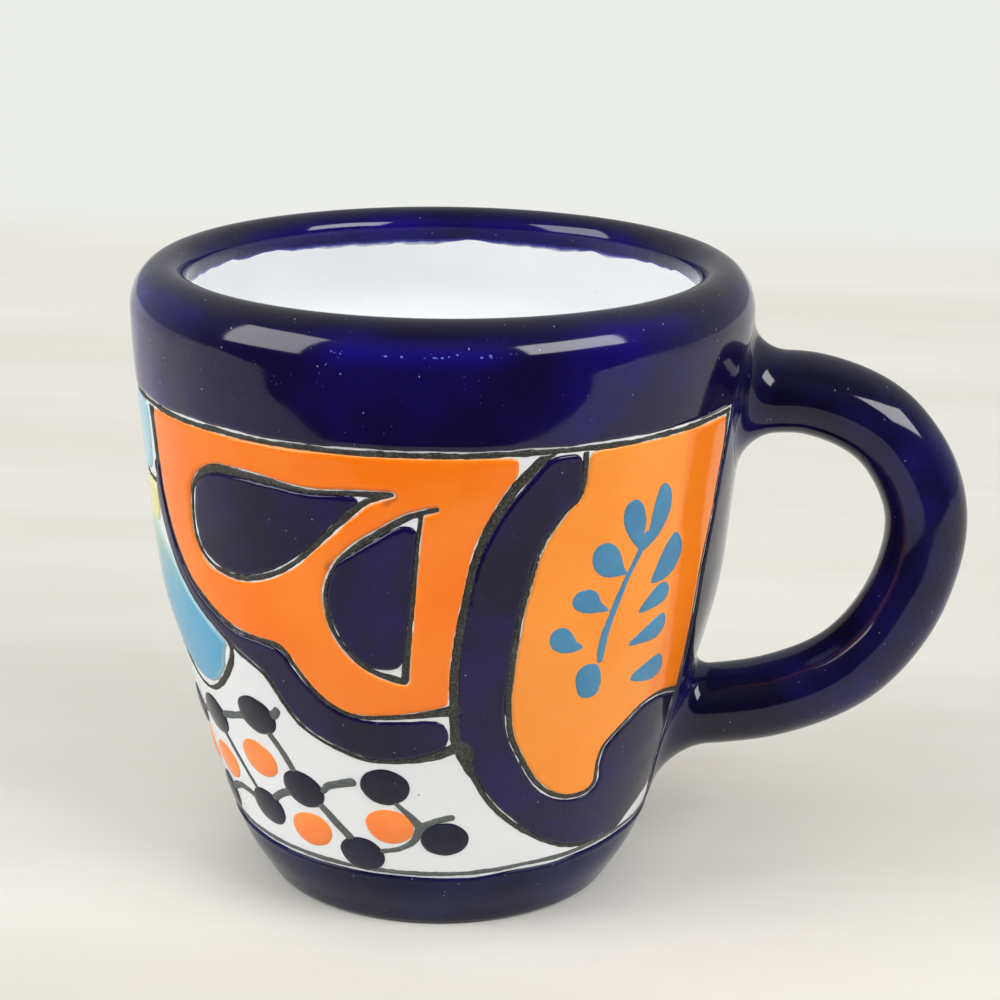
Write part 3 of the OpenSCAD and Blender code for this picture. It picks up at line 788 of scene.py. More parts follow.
whiteInside = turnedCoat("whiteInside", insideWall(colourBack), insideWall(deepBack), materials["bowl"])
dress(whiteInside, "inside_white_glaze")


def outsideWall(back):
    return wallPart(mug["bareFoot"], lipBase, back) + lipOuterPart(back)


whiteOutside = turnedCoat("whiteOutside", outsideWall(colourBack), outsideWall(deepBack), materials["white"])
dress(whiteOutside, "outside_white_glaze")

# the two cobalt bands; each edge rounds down to the white glaze in steps of mm inwards and mm up
rimCoat = {
    "start": 0.36,  # mm above the upper dark line
    "tailFrom": 4.0,  # mm under the top, where the coat inside the bowl starts to thin
    "tailLap": 0.2,  # mm past the band's end
    "tailShare": 0.97,
    "edge": [(colourBack + 0.06, 0), (0.16, 0.05), (0.05, 0.16), (0, 0.28)],
    "insideFrom": 1.2,  # mm inside the lip's crest
    "wanderFrom": 2.2,
    "wander": [(0.32, 6.0), (0.12, 1.8)],  # reach and size in mm
    "wanderLift": 0.25,
    "thinFrom": 3.9,
    "lowReach": 4,  # mm above the band's lower edge, where its wander dies out
    "lowWander": [(0.14, 4.0), (0.06, 1.2)],
}
footCoat = {
    "bottom": 0.12,  # mm above the floor
    "gap": 0.2,  # mm under the lower dark line
    "bottomEdge": [(colourBack, 0), (0.1, 0.08), (0, 0.3)],
    "topEdge": [(0, -0.3), (0.05, -0.14), (0.16, -0.04), (colourBack + 0.06, 0)],
    "still": 4,  # mm above the floor, below which nothing climbs
    "ripple": 0.12,
    "rippleSize": 3.0,
}


def rounded(point, steps):
    # the end of a coat's outer line, rounded in these steps
    r, z = point
    return [(r - back, z + up) for back, up in steps]


rimStart = rimLine + rimCoat["start"]
tailStart = mug["height"] - rimCoat["tailFrom"]
tailEnd = mug["height"] - mug["insideBand"] - rimCoat["tailLap"]
insideTail = innerPart(0, tailEnd)
taper = [(r + colourBack * rimCoat["tailShare"] * min(1, max(0, (tailStart - z) / (tailStart - tailEnd))), z)
         for r, z in insideTail]
rimWall = wallPart(rimStart, lipBase, 0)
rimShallow = rounded(rimWall[0], rimCoat["edge"]) + rimWall[1:] + lipOuterPart(0) + lipInnerPart(0) + taper
under = colourBack + 0.1  # the bands' hidden side lies in the white glaze
rimDeep = wallPart(rimStart, lipBase, under) + lipOuterPart(under) + lipInnerPart(under)
rimDeep += [(r + under, z) for r, z in insideTail]
cobaltRim = turnedCoat("cobaltRim", rimShallow, rimDeep, materials["rim"])


def wander(points, waves):
    # the sum of several wobbles
    return sum(reach * wobble(points, size) for reach, size in waves)


def raggedRim(mesh):
    # the band's two edges wander, and inside the bowl the colour thins out towards its edge
    points = meshPoints(mesh)
    flat = points * [1, 1, 0]
    radius = np.hypot(points[:, 0], points[:, 1])
    inside = radius < crestRadius - rimCoat["insideFrom"]
    deep = mug["height"] - points[:, 2]
    start = rimCoat["wanderFrom"]
    share = np.clip((deep - start) / (mug["insideBand"] - start), 0, 1) * inside
    points[:, 2] += share * (wander(flat, rimCoat["wander"]) + rimCoat["wanderLift"])
    reach = rimCoat["lowReach"]
    low = np.clip((rimStart + reach - points[:, 2]) / reach, 0, 1) * (radius > crestRadius)
    points[:, 2] += low * wander(flat, rimCoat["lowWander"])
    start = rimCoat["thinFrom"]
    setAttribute(mesh, "thinned", np.clip((deep - start) / (mug["insideBand"] - start), 0, 1) * inside)
    movePoints(mesh, points)


raggedRim(cobaltRim.data)
dress(cobaltRim, "rim_glaze")

footTop = mug["footLine"] - mug["lineWidth"] / 2 - footCoat["gap"]
footWall = wallPart(footCoat["bottom"], footTop, 0)
footShallow = rounded(footWall[0], footCoat["bottomEdge"]) + footWall[1:-1]
footShallow += rounded(footWall[-1], footCoat["topEdge"])
footDeep = wallPart(footCoat["bottom"], footTop, under)
cobaltFoot = turnedCoat("cobaltFoot", footShallow, footDeep, materials["foot"])

# the lower dark line climbs towards the handle: u, and share of the field's height
footLineShares = np.array([
    (0, 0.03), (0.045, 0.03), (0.159, 0.028), (0.217, 0.023), (0.287, 0.015), (0.349, 0.015),
    (0.421, 0.004), (0.493, 0.005), (0.602, 0.007), (0.742, 0.015), (0.875, 0.022), (1, 0.02),
])


def footLineHeight(u):
    return mug["footLine"] + fieldHeight * np.interp(u, footLineShares[:, 0], footLineShares[:, 1])


def climbFootEdge(mesh):
    # the foot band's upper edge follows the dark line above it
    points = meshPoints(mesh)
    radius = np.hypot(points[:, 0], points[:, 1])
    u = np.abs(np.arctan2(points[:, 1], points[:, 0])) / math.pi
    ripple = footCoat["ripple"] * wobble(points, footCoat["rippleSize"])
    lift = footLineHeight(u) - mug["footLine"] + ripple
    share = np.clip((points[:, 2] - footCoat["still"]) / (footTop - footCoat["still"]), 0, 1)
    z = points[:, 2] + lift * share
    grown = radius + wallRadius(z) - wallRadius(points[:, 2])
    points[:, :2] *= (grown / radius)[:, None]
    points[:, 2] = z
    movePoints(mesh, points)


climbFootEdge(cobaltFoot.data)
dress(cobaltFoot, "foot_glaze")

# the handle: rings along a centre line, which flare out and follow the wall where they meet it.
# Its centre line is in shares of the reach and of the way from bottom to top
handle = {
    "thickness": 11.8,
    "width": 12.6,
    "reach": mug["rimRadius"] + 25.4,
    "top": mug["height"] - 18.0,
    "bottom": 25.5,
    "upperFlare": 4.75,
    "upperCover": 0.65,
    "lowerFlare": 6.1,
    "innerFlare": 2.7,
    "sides": 112,
    "stepsEach": 120,
    "rings": 240,
    "sunk": 0.9,
    "wobble": 0.12,
    "wobbleSize": 9.0,
    "wobbleFrom": 3,  # mm from the wall, where the wobble has its full reach
}
handleShares = [
    (0.38, 0), (0.51, 0.005), (0.705, 0.05), (0.868, 0.172), (0.974, 0.393),
    (1, 0.66), (0.918, 0.888), (0.76, 0.998), (0.58, 0.982), (0.47, 0.96),
]


def buildHandle():
    rise = handle["top"] - handle["bottom"]
    spine = smooth([(x * handle["reach"], handle["bottom"] + z * rise) for x, z in handleShares],
                   handle["stepsEach"])
    run = np.gradient(spine, axis=0)
    run /= np.linalg.norm(run, axis=1)[:, None]
    turn = 2 * math.pi * np.arange(handle["sides"]) / handle["sides"]
    cosine = np.cos(turn)[None, :]
    sine = np.sin(turn)[None, :]
    out = np.stack([cosine * run[:, 1:2], sine + 0 * run[:, 1:2], cosine * -run[:, 0:1]], -1)
    half = np.array([handle["thickness"] / 2, handle["width"] / 2, handle["thickness"] / 2])
    centre = np.stack([spine[:, 0], 0 * spine[:, 0], spine[:, 1]], -1)[:, None, :]
    tube = centre + half * out
    away = np.hypot(tube[..., 0], tube[..., 1]) - wallRadius(tube[..., 2])

    # each side runs only between the two places where it crosses the wall, with short steps near them
    pace = (1 - np.cos(math.pi * np.linspace(0, 1, handle["rings"]))) / 2
    steps = np.arange(len(spine))
    points = np.empty((handle["rings"], handle["sides"], 3))
    facing = np.empty(points.shape)
    height = np.empty(points.shape[:2])
    for k in range(handle["sides"]):
        free = np.where(away[:, k] > 0)[0]
        a, b = free[0], free[-1]
        first = a - away[a, k] / (away[a, k] - away[a - 1, k])
        last = b + away[b, k] / (away[b, k] - away[b + 1, k])
        at = first + (last - first) * pace
        height[:, k] = np.interp(at, steps, spine[:, 1])
        for axis in range(3):
            points[:, k, axis] = np.interp(at, steps, tube[:, k, axis])
            facing[:, k, axis] = np.interp(at, steps, out[:, k, axis])

    gap = np.maximum(np.hypot(points[..., 0], points[..., 1]) - wallRadius(points[..., 2]), 0)
    middle = (handle["top"] + handle["bottom"]) / 2
    lower = handle["innerFlare"] + (handle["lowerFlare"] - handle["innerFlare"]) * (1 + cosine) / 2
    upper = handle["upperFlare"] + handle["upperCover"] * ((1 + cosine) / 2) ** 4
    flare = np.where(height > middle, upper, lower)
    near = np.minimum(gap, flare)
    grow = flare - np.sqrt(np.maximum(flare ** 2 - (flare - near) ** 2, 0))
    points = points + grow[..., None] * facing
    held = gap < flare
    radius = wallRadius(points[..., 2]) + gap
    angle = np.arctan2(points[..., 1], points[..., 0])
    points[..., 0] = np.where(held, radius * np.cos(angle), points[..., 0])
    points[..., 1] = np.where(held, radius * np.sin(angle), points[..., 1])
    rough = handle["wobble"] * wobble(points, handle["wobbleSize"])
    rough = rough * np.clip(gap / handle["wobbleFrom"], 0, 1)
    points = points + rough[..., None] * facing

    # a ring at each end under the wall's own coats, then the caps
    sunk = points[[0, -1]]
    shrink = 1 - handle["sunk"] / np.hypot(sunk[..., 0], sunk[..., 1])
    sunk[..., :2] *= shrink[..., None]
    points = np.concatenate([sunk[:1], points, sunk[1:]])
    rings, sides = points.shape[:2]
    corners = np.arange(rings * sides).reshape(rings, sides)
    ahead = np.roll(corners, -1, axis=1)
    quads = np.stack([corners[:-1], ahead[:-1], ahead[1:], corners[1:]], -1).reshape(-1, 4)
    ends = np.array([points[0].mean(0), points[-1].mean(0)])
    caps = [(rings * sides, ahead[0, k], corners[0, k]) for k in range(sides)]
    caps += [(rings * sides + 1, corners[-1, k], ahead[-1, k]) for k in range(sides)]
    flat = np.concatenate([points.reshape(-1, 3), ends])
    return tidyMesh(meshFrom("cobaltHandle", flat, list(quads) + caps))


cobaltHandle = newObject("cobaltHandle", buildHandle(), materials["handle"])
dress(cobaltHandle, "handle_glaze")
print("handle made")

# the painted field. Places are shares: u from the handle (0) round to the opposite side (1),
# v from the foot line (0) up to the rim line (1)
orangeShares = smooth([
    (0.392, 1.02), (0.394, 0.95), (0.404, 0.9), (0.42, 0.84), (0.433, 0.785), (0.442, 0.69),
    (0.448, 0.6), (0.45, 0.52), (0.453, 0.472), (0.463, 0.436), (0.49, 0.413), (0.536, 0.4),
    (0.566, 0.402), (0.594, 0.422), (0.618, 0.462), (0.634, 0.51), (0.649, 0.542), (0.678, 0.548),
    (0.713, 0.559), (0.749, 0.592), (0.785, 0.64), (0.814, 0.715), (0.83, 0.8), (0.834, 0.89), (0.837, 1.02),
], 3)
longDropShares = smooth([
    (0.7477, 0.863), (0.7362, 0.883), (0.7084, 0.901), (0.6766, 0.903), (0.6424, 0.904), (0.6046, 0.896),
    (0.569, 0.9), (0.5525, 0.896), (0.5546, 0.886), (0.5701, 0.853), (0.598, 0.795), (0.62, 0.758),
    (0.6472, 0.722), (0.6761, 0.698), (0.7027, 0.691), (0.7288, 0.701), (0.7484, 0.725), (0.7546, 0.77),
    (0.7535, 0.819),
], 2, closed=True)
roundDropShares = smooth([
    (0.4998, 0.84), (0.4939, 0.832), (0.4932, 0.792), (0.4958, 0.731), (0.5, 0.663), (0.5034, 0.608),
    (0.5075, 0.559), (0.5143, 0.534), (0.5307, 0.528), (0.547, 0.536), (0.563, 0.564), (0.5754, 0.609),
    (0.5818, 0.656), (0.5822, 0.703), (0.5768, 0.738), (0.5642, 0.766), (0.5462, 0.791), (0.5211, 0.824),
    (0.5073, 0.839),
], 2, closed=True)
amberShares = smooth([
    (0.109, 1.02), (0.11, 0.93), (0.118, 0.85), (0.123, 0.763), (0.131, 0.69), (0.136, 0.64),
    (0.135, 0.53), (0.124, 0.43), (0.112, 0.37), (0.145, 0.378), (0.175, 0.382), (0.205, 0.37),
    (0.225, 0.344), (0.243, 0.32), (0.258, 0.29), (0.26, 0.245), (0.257, 0.208), (0.269, 0.19),
    (0.293, 0.188), (0.321, 0.211), (0.342, 0.247), (0.362, 0.303), (0.38, 0.37), (0.387, 0.43),
    (0.389, 0.494), (0.388, 0.57), (0.38, 0.653), (0.374, 0.727), (0.366, 0.775), (0.344, 0.866),
    (0.33, 0.905), (0.326, 0.95), (0.322, 0.978), (0.315, 0.99), (0.3, 1.02),
], 3)
scrollShares = smooth([
    (0.339, 0.992), (0.3325, 0.982), (0.328, 0.962), (0.3262, 0.915), (0.3297, 0.89), (0.3415, 0.868),
    (0.3639, 0.804), (0.378, 0.706), (0.3845, 0.656), (0.3885, 0.595), (0.3918, 0.534), (0.3925, 0.47),
    (0.39, 0.415), (0.3845, 0.36), (0.372, 0.31), (0.348, 0.24), (0.3225, 0.199), (0.293, 0.176),
    (0.2645, 0.176), (0.251, 0.1985), (0.2545, 0.2425), (0.252, 0.2865), (0.238, 0.312), (0.219, 0.338),
    (0.2, 0.3615), (0.173, 0.372), (0.145, 0.3675), (0.122, 0.355), (0.1195, 0.32), (0.117, 0.28),
    (0.1155, 0.23), (0.113, 0.18), (0.105, 0.138), (0.104, 0.108), (0.128, 0.086), (0.147, 0.067),
    (0.168, 0.047),
    (0.204, 0.037), (0.245, 0.04), (0.294, 0.058), (0.347, 0.117), (0.382, 0.171), (0.411, 0.233),
    (0.434, 0.317), (0.444, 0.365), (0.447, 0.44), (0.446, 0.529), (0.443, 0.613), (0.436, 0.703),
    (0.428, 0.77), (0.416, 0.83), (0.4, 0.885), (0.3841, 0.925), (0.3697, 0.965), (0.3592, 0.986),
], 3, closed=True)
waveShares = smooth([
    (0.85, 0.86), (0.838, 0.86), (0.834, 0.79), (0.818, 0.71), (0.788, 0.632), (0.75, 0.583),
    (0.713, 0.549), (0.678, 0.54), (0.65, 0.53), (0.635, 0.49), (0.614, 0.443), (0.59, 0.408),
    (0.556, 0.391), (0.515, 0.394), (0.472, 0.398), (0.46, 0.366), (0.467, 0.331), (0.489, 0.31),
    (0.517, 0.302), (0.547, 0.302), (0.576, 0.315), (0.607, 0.335), (0.636, 0.367), (0.656, 0.418),
    (0.673, 0.47), (0.71, 0.512), (0.752, 0.555), (0.785, 0.605), (0.822, 0.675), (0.845, 0.745),
    (0.851, 0.8),
], 3, closed=True)
lowPetalShares = smooth([
    (0.945, 0.7), (0.9, 0.708), (0.866, 0.685), (0.832, 0.658), (0.797, 0.602), (0.765, 0.555),
    (0.735, 0.515), (0.738, 0.493), (0.7444, 0.465), (0.7489, 0.444), (0.7703, 0.405), (0.7938, 0.386),
    (0.815, 0.387), (0.833, 0.4), (0.858, 0.43), (0.888, 0.5), (0.918, 0.58), (0.94, 0.64),
], 3, closed=True)
heartShares = smooth([
    (0.945, 0.775), (0.905, 0.798), (0.872, 0.804), (0.862, 0.77), (0.866, 0.73), (0.878, 0.712),
    (0.905, 0.722), (0.945, 0.715),
], 3, closed=True)
topPetalShares = smooth([
    (0.962, 1.02), (0.955, 0.87), (0.935, 0.815), (0.9, 0.822), (0.872, 0.845), (0.86, 0.93), (0.861, 1.02),
], 4)
lastPetalShares = smooth([
    (1.0, 0.6), (0.975, 0.56), (0.955, 0.48), (0.955, 0.38), (0.975, 0.29),
    (1.0, 0.26), (1.025, 0.29), (1.045, 0.38), (1.045, 0.48), (1.025, 0.56),
], 4, closed=True)
fieldShares = smooth([
    (0.1, 1.2), (0.098, 1.02), (0.101, 0.93), (0.109, 0.85), (0.114, 0.763), (0.122, 0.69),
    (0.127, 0.64), (0.126, 0.53), (0.115, 0.43), (0.104, 0.37), (0.0985, 0.32), (0.098, 0.27),
    (0.098, 0.22), (0.0935, 0.17), (0.081, 0.122), (0.06, 0.083), (0.044, 0.06), (0.038, 0.035),
    (0.038, -0.02), (0.038, -0.2),
], 3)

# dark lines: (u, v, width in mm) at each point, the white gap that the colours leave beside them,
# and how many mm wider the line is drawn
darkLines = [
    {"name": "knot", "gap": 0.1, "points": [
        (0.4413, 0.338, 2.0), (0.4393, 0.328, 2.6), (0.4367, 0.315, 2.5), (0.4345, 0.306, 1.7)]},
    {"name": "knotAbove", "gap": 0.1, "points": [
        (0.4566, 0.43, 1.5), (0.4518, 0.429, 2.0), (0.4495, 0.427, 1.7)]},
    {"name": "divider", "gap": 0.22, "points": [
        (0.346, 1.003, 0.7), (0.365, 0.99, 1.2), (0.3815, 0.958, 1.4), (0.4, 0.913, 1.4), (0.418, 0.85, 1.35),
        (0.432, 0.78, 1.2), (0.44, 0.7, 1.15), (0.4475, 0.613, 1.25), (0.4517, 0.53, 1.35),
        (0.4519, 0.455, 1.45), (0.4498, 0.378, 1.5), (0.4468, 0.34, 1.7), (0.4393, 0.318, 1.6),
        (0.4339, 0.291, 1.2)]},
    {"name": "scrollInnerTop", "gap": 0.14, "points": [
        (0.3235, 1.02, 1.1), (0.324, 1.0, 1.0), (0.3247, 0.961, 0.85), (0.3254, 0.924, 0.75),
        (0.3297, 0.892, 0.6), (0.3415, 0.868, 0.5)]},
    {"name": "scrollInner", "gap": 0.2, "points": [
        (0.3415, 0.868, 0.5), (0.3508, 0.843, 0.55), (0.3639, 0.804, 0.7), (0.3727, 0.759, 0.8),
        (0.3785, 0.706, 0.85), (0.3845, 0.656, 0.9), (0.3885, 0.595, 1.0), (0.3918, 0.534, 1.05),
        (0.3925, 0.47, 0.95)]},
    {"name": "scrollHook", "gap": 0.02, "points": [
        (0.3925, 0.47, 0.95), (0.39, 0.415, 0.9), (0.3845, 0.36, 0.85), (0.372, 0.31, 0.8),
        (0.348, 0.24, 0.75), (0.3225, 0.199, 0.75), (0.293, 0.178, 0.7), (0.2645, 0.178, 0.8),
        (0.2515, 0.1985, 0.9), (0.2545, 0.2425, 0.7), (0.252, 0.2865, 0.65), (0.238, 0.314, 0.6),
        (0.219, 0.341, 0.6), (0.2, 0.3645, 0.6), (0.173, 0.375, 0.6), (0.145, 0.3705, 0.7),
        (0.1165, 0.357, 0.8)]},
    {"name": "waveUpper", "gap": 0.2, "wider": 0.15, "points": [
        (0.45, 0.432, 1.6), (0.4583, 0.428, 1.4), (0.4769, 0.421, 1.0), (0.5112, 0.41, 0.65),
        (0.561, 0.402, 0.5), (0.591, 0.42, 0.5), (0.614, 0.457, 0.5), (0.6325, 0.505, 0.55),
        (0.6475, 0.541, 0.8), (0.678, 0.548, 0.5), (0.713, 0.558, 0.45), (0.7485, 0.5915, 0.5),
        (0.7845, 0.639, 0.5), (0.814, 0.714, 0.5), (0.83, 0.795, 0.5), (0.834, 0.875, 0.6),
        (0.837, 1.02, 0.6)]},
    {"name": "waveLower", "gap": 0.04, "wider": 0.12, "points": [
        (0.4468, 0.34, 1.7), (0.4592, 0.327, 1.5), (0.4773, 0.313, 1.2), (0.5029, 0.302, 0.85),
        (0.5327, 0.296, 0.6), (0.556, 0.2955, 0.5), (0.578, 0.3055, 0.5), (0.611, 0.3265, 0.45),
        (0.641, 0.36, 0.45), (0.6615, 0.414, 0.5), (0.678, 0.463, 0.5), (0.7155, 0.503, 0.55),
        (0.744, 0.54, 0.6), (0.789, 0.598, 0.5), (0.827, 0.669, 0.5), (0.851, 0.745, 0.5),
        (0.857, 0.8, 0.5)]},
    {"name": "scrollOuter", "gap": 0.04, "wider": 0.12, "points": [
        (0.4365, 0.3, 1.5), (0.4247, 0.255, 0.85), (0.3983, 0.18, 0.68), (0.3505, 0.107, 0.65),
        (0.2902, 0.05, 0.58), (0.247, 0.0315, 0.55), (0.203, 0.0285, 0.55), (0.165, 0.0385, 0.6),
        (0.144, 0.06, 0.5), (0.124, 0.079, 0.45), (0.098, 0.1, 0.4)]},
    {"name": "handleLine", "gap": 0.3, "wider": 0.12, "points": [
        (0.1035, 1.03, 1.3), (0.107, 0.97, 1.1), (0.1065, 0.93, 0.75), (0.1135, 0.85, 0.5),
        (0.1185, 0.763, 0.4), (0.1265, 0.69, 0.4), (0.1315, 0.64, 0.35), (0.1305, 0.53, 0.4),
        (0.1195, 0.43, 0.45), (0.1105, 0.37, 0.7)]},
    {"name": "jointLine", "gap": 0.36, "wider": 0.12, "points": [
        (0.1105, 0.37, 0.7), (0.1055, 0.32, 0.6), (0.105, 0.27, 0.4), (0.105, 0.22, 0.4), (0.1, 0.17, 0.4),
        (0.088, 0.122, 0.4), (0.068, 0.083, 0.4), (0.052, 0.06, 0.45), (0.046, 0.035, 0.45)]},
    {"name": "longDropUpper", "gap": 0.26, "wider": 0.24, "points": [
        (0.7585, 0.851, 0.5), (0.7438, 0.885, 0.75), (0.7192, 0.91, 1.0), (0.6881, 0.915, 1.0),
        (0.6493, 0.912, 0.85), (0.6211, 0.906, 0.6), (0.5944, 0.904, 0.5), (0.5688, 0.9075, 0.5),
        (0.5441, 0.91, 0.6), (0.5156, 0.912, 0.35)]},
    {"name": "longDropLower", "gap": 0.26, "wider": 0.24, "points": [
        (0.7585, 0.851, 0.5), (0.7625, 0.801, 0.42), (0.7623, 0.746, 0.42), (0.7498, 0.707, 0.5),
        (0.7297, 0.687, 0.5), (0.7033, 0.68, 0.55), (0.6766, 0.687, 0.65), (0.6477, 0.708, 0.6),
        (0.6206, 0.742, 0.6), (0.5984, 0.783, 0.6), (0.5773, 0.826, 0.8), (0.5572, 0.867, 0.9),
        (0.5413, 0.893, 0.6), (0.5261, 0.905, 0.45), (0.5147, 0.912, 0.3)]},
    {"name": "roundDropUpper", "gap": 0.26, "wider": 0.24, "points": [
        (0.5724, 0.759, 0.4), (0.5525, 0.794, 0.75), (0.5271, 0.83, 0.8), (0.5027, 0.862, 0.7),
        (0.4848, 0.876, 0.5), (0.4716, 0.883, 0.3)]},
    {"name": "roundDropLeft", "gap": 0.26, "wider": 0.24, "points": [
        (0.5724, 0.759, 0.35), (0.5825, 0.723, 0.4), (0.5872, 0.688, 0.5), (0.5869, 0.654, 0.55),
        (0.5827, 0.614, 0.5), (0.5728, 0.575, 0.5), (0.5569, 0.541, 0.55), (0.5376, 0.516, 0.6),
        (0.5181, 0.504, 0.9), (0.5057, 0.498, 0.7)]},
    {"name": "roundDropRight", "gap": 0.26, "wider": 0.24, "points": [
        (0.4863, 0.875, 0.35), (0.4894, 0.832, 0.4), (0.4926, 0.765, 0.45), (0.4959, 0.697, 0.5),
        (0.4986, 0.629, 0.55), (0.5017, 0.574, 0.7), (0.5052, 0.502, 0.9)]},
    {"name": "petalFoot", "gap": 0.12, "points": [
        (0.7298, 0.522, 0.4), (0.725, 0.499, 0.85), (0.7334, 0.461, 1.05), (0.7563, 0.412, 1.05),
        (0.7854, 0.374, 0.8), (0.8118, 0.362, 0.6), (0.84, 0.374, 0.5), (0.868, 0.42, 0.5),
        (0.9, 0.495, 0.5), (0.93, 0.57, 0.5), (0.955, 0.65, 0.5)]},
    {"name": "topPetalSide", "gap": 0.16, "points": [
        (0.846, 1.02, 1.4), (0.843, 0.93, 1.3), (0.845, 0.86, 1.0), (0.856, 0.815, 0.7),
        (0.88, 0.81, 0.5), (0.92, 0.806, 0.5)]},
]
dropRings = [
    ["longDropUpper", "longDropLower"],
    ["roundDropLeft", "roundDropRight", "roundDropUpper"],
]
wholeLines = {
    "rimWidth": 0.78,
    "rimDrop": 0.18,  # mm from the field's upper end down to the line's middle
    "footWidth": 0.7,
    "wobble": 0.16,
    "wobbleSize": 7.0,
    "swell": 0.12,
    "swellSize": 5.0,
}
centreDot = {"v": 0.72, "width": 11.0, "reach": 0.12}
paint = {
    "cell": 0.265,  # mm between two places of the grid that the paint is cut from
    "widest": 41,  # mm, the wall's radius that the grid's columns are counted at
    "relief": 0.3,
    "round": 0.6,  # mm from the edge to where the paint has its full relief
    "sunk": 0.12,
    "ripple": 0.03,
    "rippleSize": 4.0,
    "wobble": 0.07,
    "wobbleSize": 2.2,
    "fineShare": 0.6,
    "grain": 0.07,
    "grainSize": 0.75,
    "corner": 0.25,
    "rimCorner": 0.7,
    "lap": 0.09,  # mm that a colour without a gap runs over the dark line's edge
    "edgeGap": 0.05,  # mm between a colour and the two lines that run round the mug
    "hookGap": 0.18,  # mm of white beside the scroll's hook
    "lineRelief": 0.14,
    "lineRound": 0.4,
    "latticeRelief": 0.16,
    "latticeRound": 0.45,
    "latticeWider": 0.1,
    "low": -0.05,  # the field's lowest and highest v
    "high": 1.03,
}
farAway = 1e3  # mm, further than any place is from a line


def fieldGrid(uLow, uHigh, vLow, vHigh):
    # a grid of places on the wall, with its u, its height and the wall's radius there
    columns = max(3, int((uHigh - uLow) * math.pi * paint["widest"] / paint["cell"]) + 2)
    rows = max(3, int((vHigh - vLow) * fieldHeight / paint["cell"]) + 2)
    u, v = np.meshgrid(np.linspace(uLow, uHigh, columns), np.linspace(vLow, vHigh, rows))
    z = mug["footLine"] + v * fieldHeight
    return {"u": u, "v": v, "z": z, "r": wallRadius(z)}


def segmentDistance(grid, a, b, widthA=0.0, widthB=0.0):
    # distance in mm from each place to one short run, less half its width there
    middle = (a[0] + b[0]) / 2
    za = mug["footLine"] + a[1] * fieldHeight
    zb = mug["footLine"] + b[1] * fieldHeight
    ax = math.pi * (middle - a[0]) * wallRadius(za)
    bx = math.pi * (middle - b[0]) * wallRadius(zb)
    px = math.pi * (middle - grid["u"]) * grid["r"]
    dx, dz = bx - ax, zb - za
    length = max(dx * dx + dz * dz, 1e-9)
    t = np.clip(((px - ax) * dx + (grid["z"] - za) * dz) / length, 0, 1)
    away = np.hypot(px - ax - t * dx, grid["z"] - za - t * dz)
    return away - (widthA + (widthB - widthA) * t) / 2


def lineDistance(grid, points):
    nearest = np.full(grid["u"].shape, farAway)
    for a, b in zip(points[:-1], points[1:]):
        nearest = np.minimum(nearest, segmentDistance(grid, a, b, a[2], b[2]))
    return nearest


def areaDistance(grid, points):
    # below zero inside the closed outline, above zero outside
    nearest = np.full(grid["u"].shape, farAway)
    inside = np.zeros(grid["u"].shape, bool)
    for a, b in zip(points, np.roll(points, -1, axis=0)):
        nearest = np.minimum(nearest, segmentDistance(grid, a, b))
        crosses = (a[1] > grid["v"]) != (b[1] > grid["v"])
        if crosses.any():
            at = a[0] + (grid["v"] - a[1]) / (b[1] - a[1] + 1e-12) * (b[0] - a[0])
            inside ^= crosses & (grid["u"] < at)
    return np.where(inside, -nearest, nearest)


def softMax(a, b, corner):
    # the larger of two distances, with a rounded corner where they meet
    return (a + b + np.sqrt((a - b) ** 2 + corner ** 2)) / 2 - corner * 0.1


def span(points, pad=0.03):
    # the least and greatest u, then v, with a little room round them
    p = np.array(points, float)
    return p[:, 0].min() - pad, p[:, 0].max() + pad, p[:, 1].min() - pad, p[:, 1].max() + pad


# the dark lines as smooth curves, with the box of u and v that each one lies in
smoothLines = [
    {"name": line["name"], "gap": line["gap"], "span": span(line["points"], 0.02),
     "points": smooth(line["points"], 4) + [0, 0, line.get("wider", 0)]}
    for line in darkLines
]


def ringOutline(names):
    # the closed outline that the lines of one ring make
    lines = {line["name"]: np.array(line["points"])[:, :2] for line in darkLines}
    outline = lines[names[0]]
    for name in names[1:]:
        outline = np.concatenate([outline, lines[name][::-1]])
    return outline


def darkDistance(grid, gaps):
    # distance to the nearest dark line, each one grown by this share of its white gap
    nearest = np.full(grid["u"].shape, farAway)
    low, high = grid["u"].min(), grid["u"].max()
    for line in smoothLines:
        if line["span"][0] < high and line["span"][1] > low:
            away = lineDistance(grid, line["points"]) - line["gap"] * gaps
            nearest = np.minimum(nearest, away)
    return nearest


def rimLimit(grid, grow=0.0):
    return grid["z"] - (rimLine - wholeLines["rimDrop"] - wholeLines["rimWidth"] / 2 - grow)


def footLimit(grid, grow=0.0):
    return footLineHeight(np.clip(grid["u"], 0, 2)) + wholeLines["footWidth"] / 2 + grow - grid["z"]


def cutArea(grid, shares, gaps, grow=0.0):
    # a painted area, grown by this many mm and cut back from the dark lines round it; without
    # a gap it laps over the lines' edges
    area = areaDistance(grid, shares) - grow
    lap = 0.0 if gaps else paint["lap"]
    area = softMax(area, -darkDistance(grid, gaps) - lap, paint["corner"])
    area = softMax(area, rimLimit(grid, paint["edgeGap"]), paint["rimCorner"])
    return softMax(area, footLimit(grid, paint["edgeGap"]), paint["corner"])


def onWall(grid, side):
    angle = -side * math.pi * grid["u"]
    return np.stack([grid["r"] * np.cos(angle), grid["r"] * np.sin(angle), grid["z"]], -1)


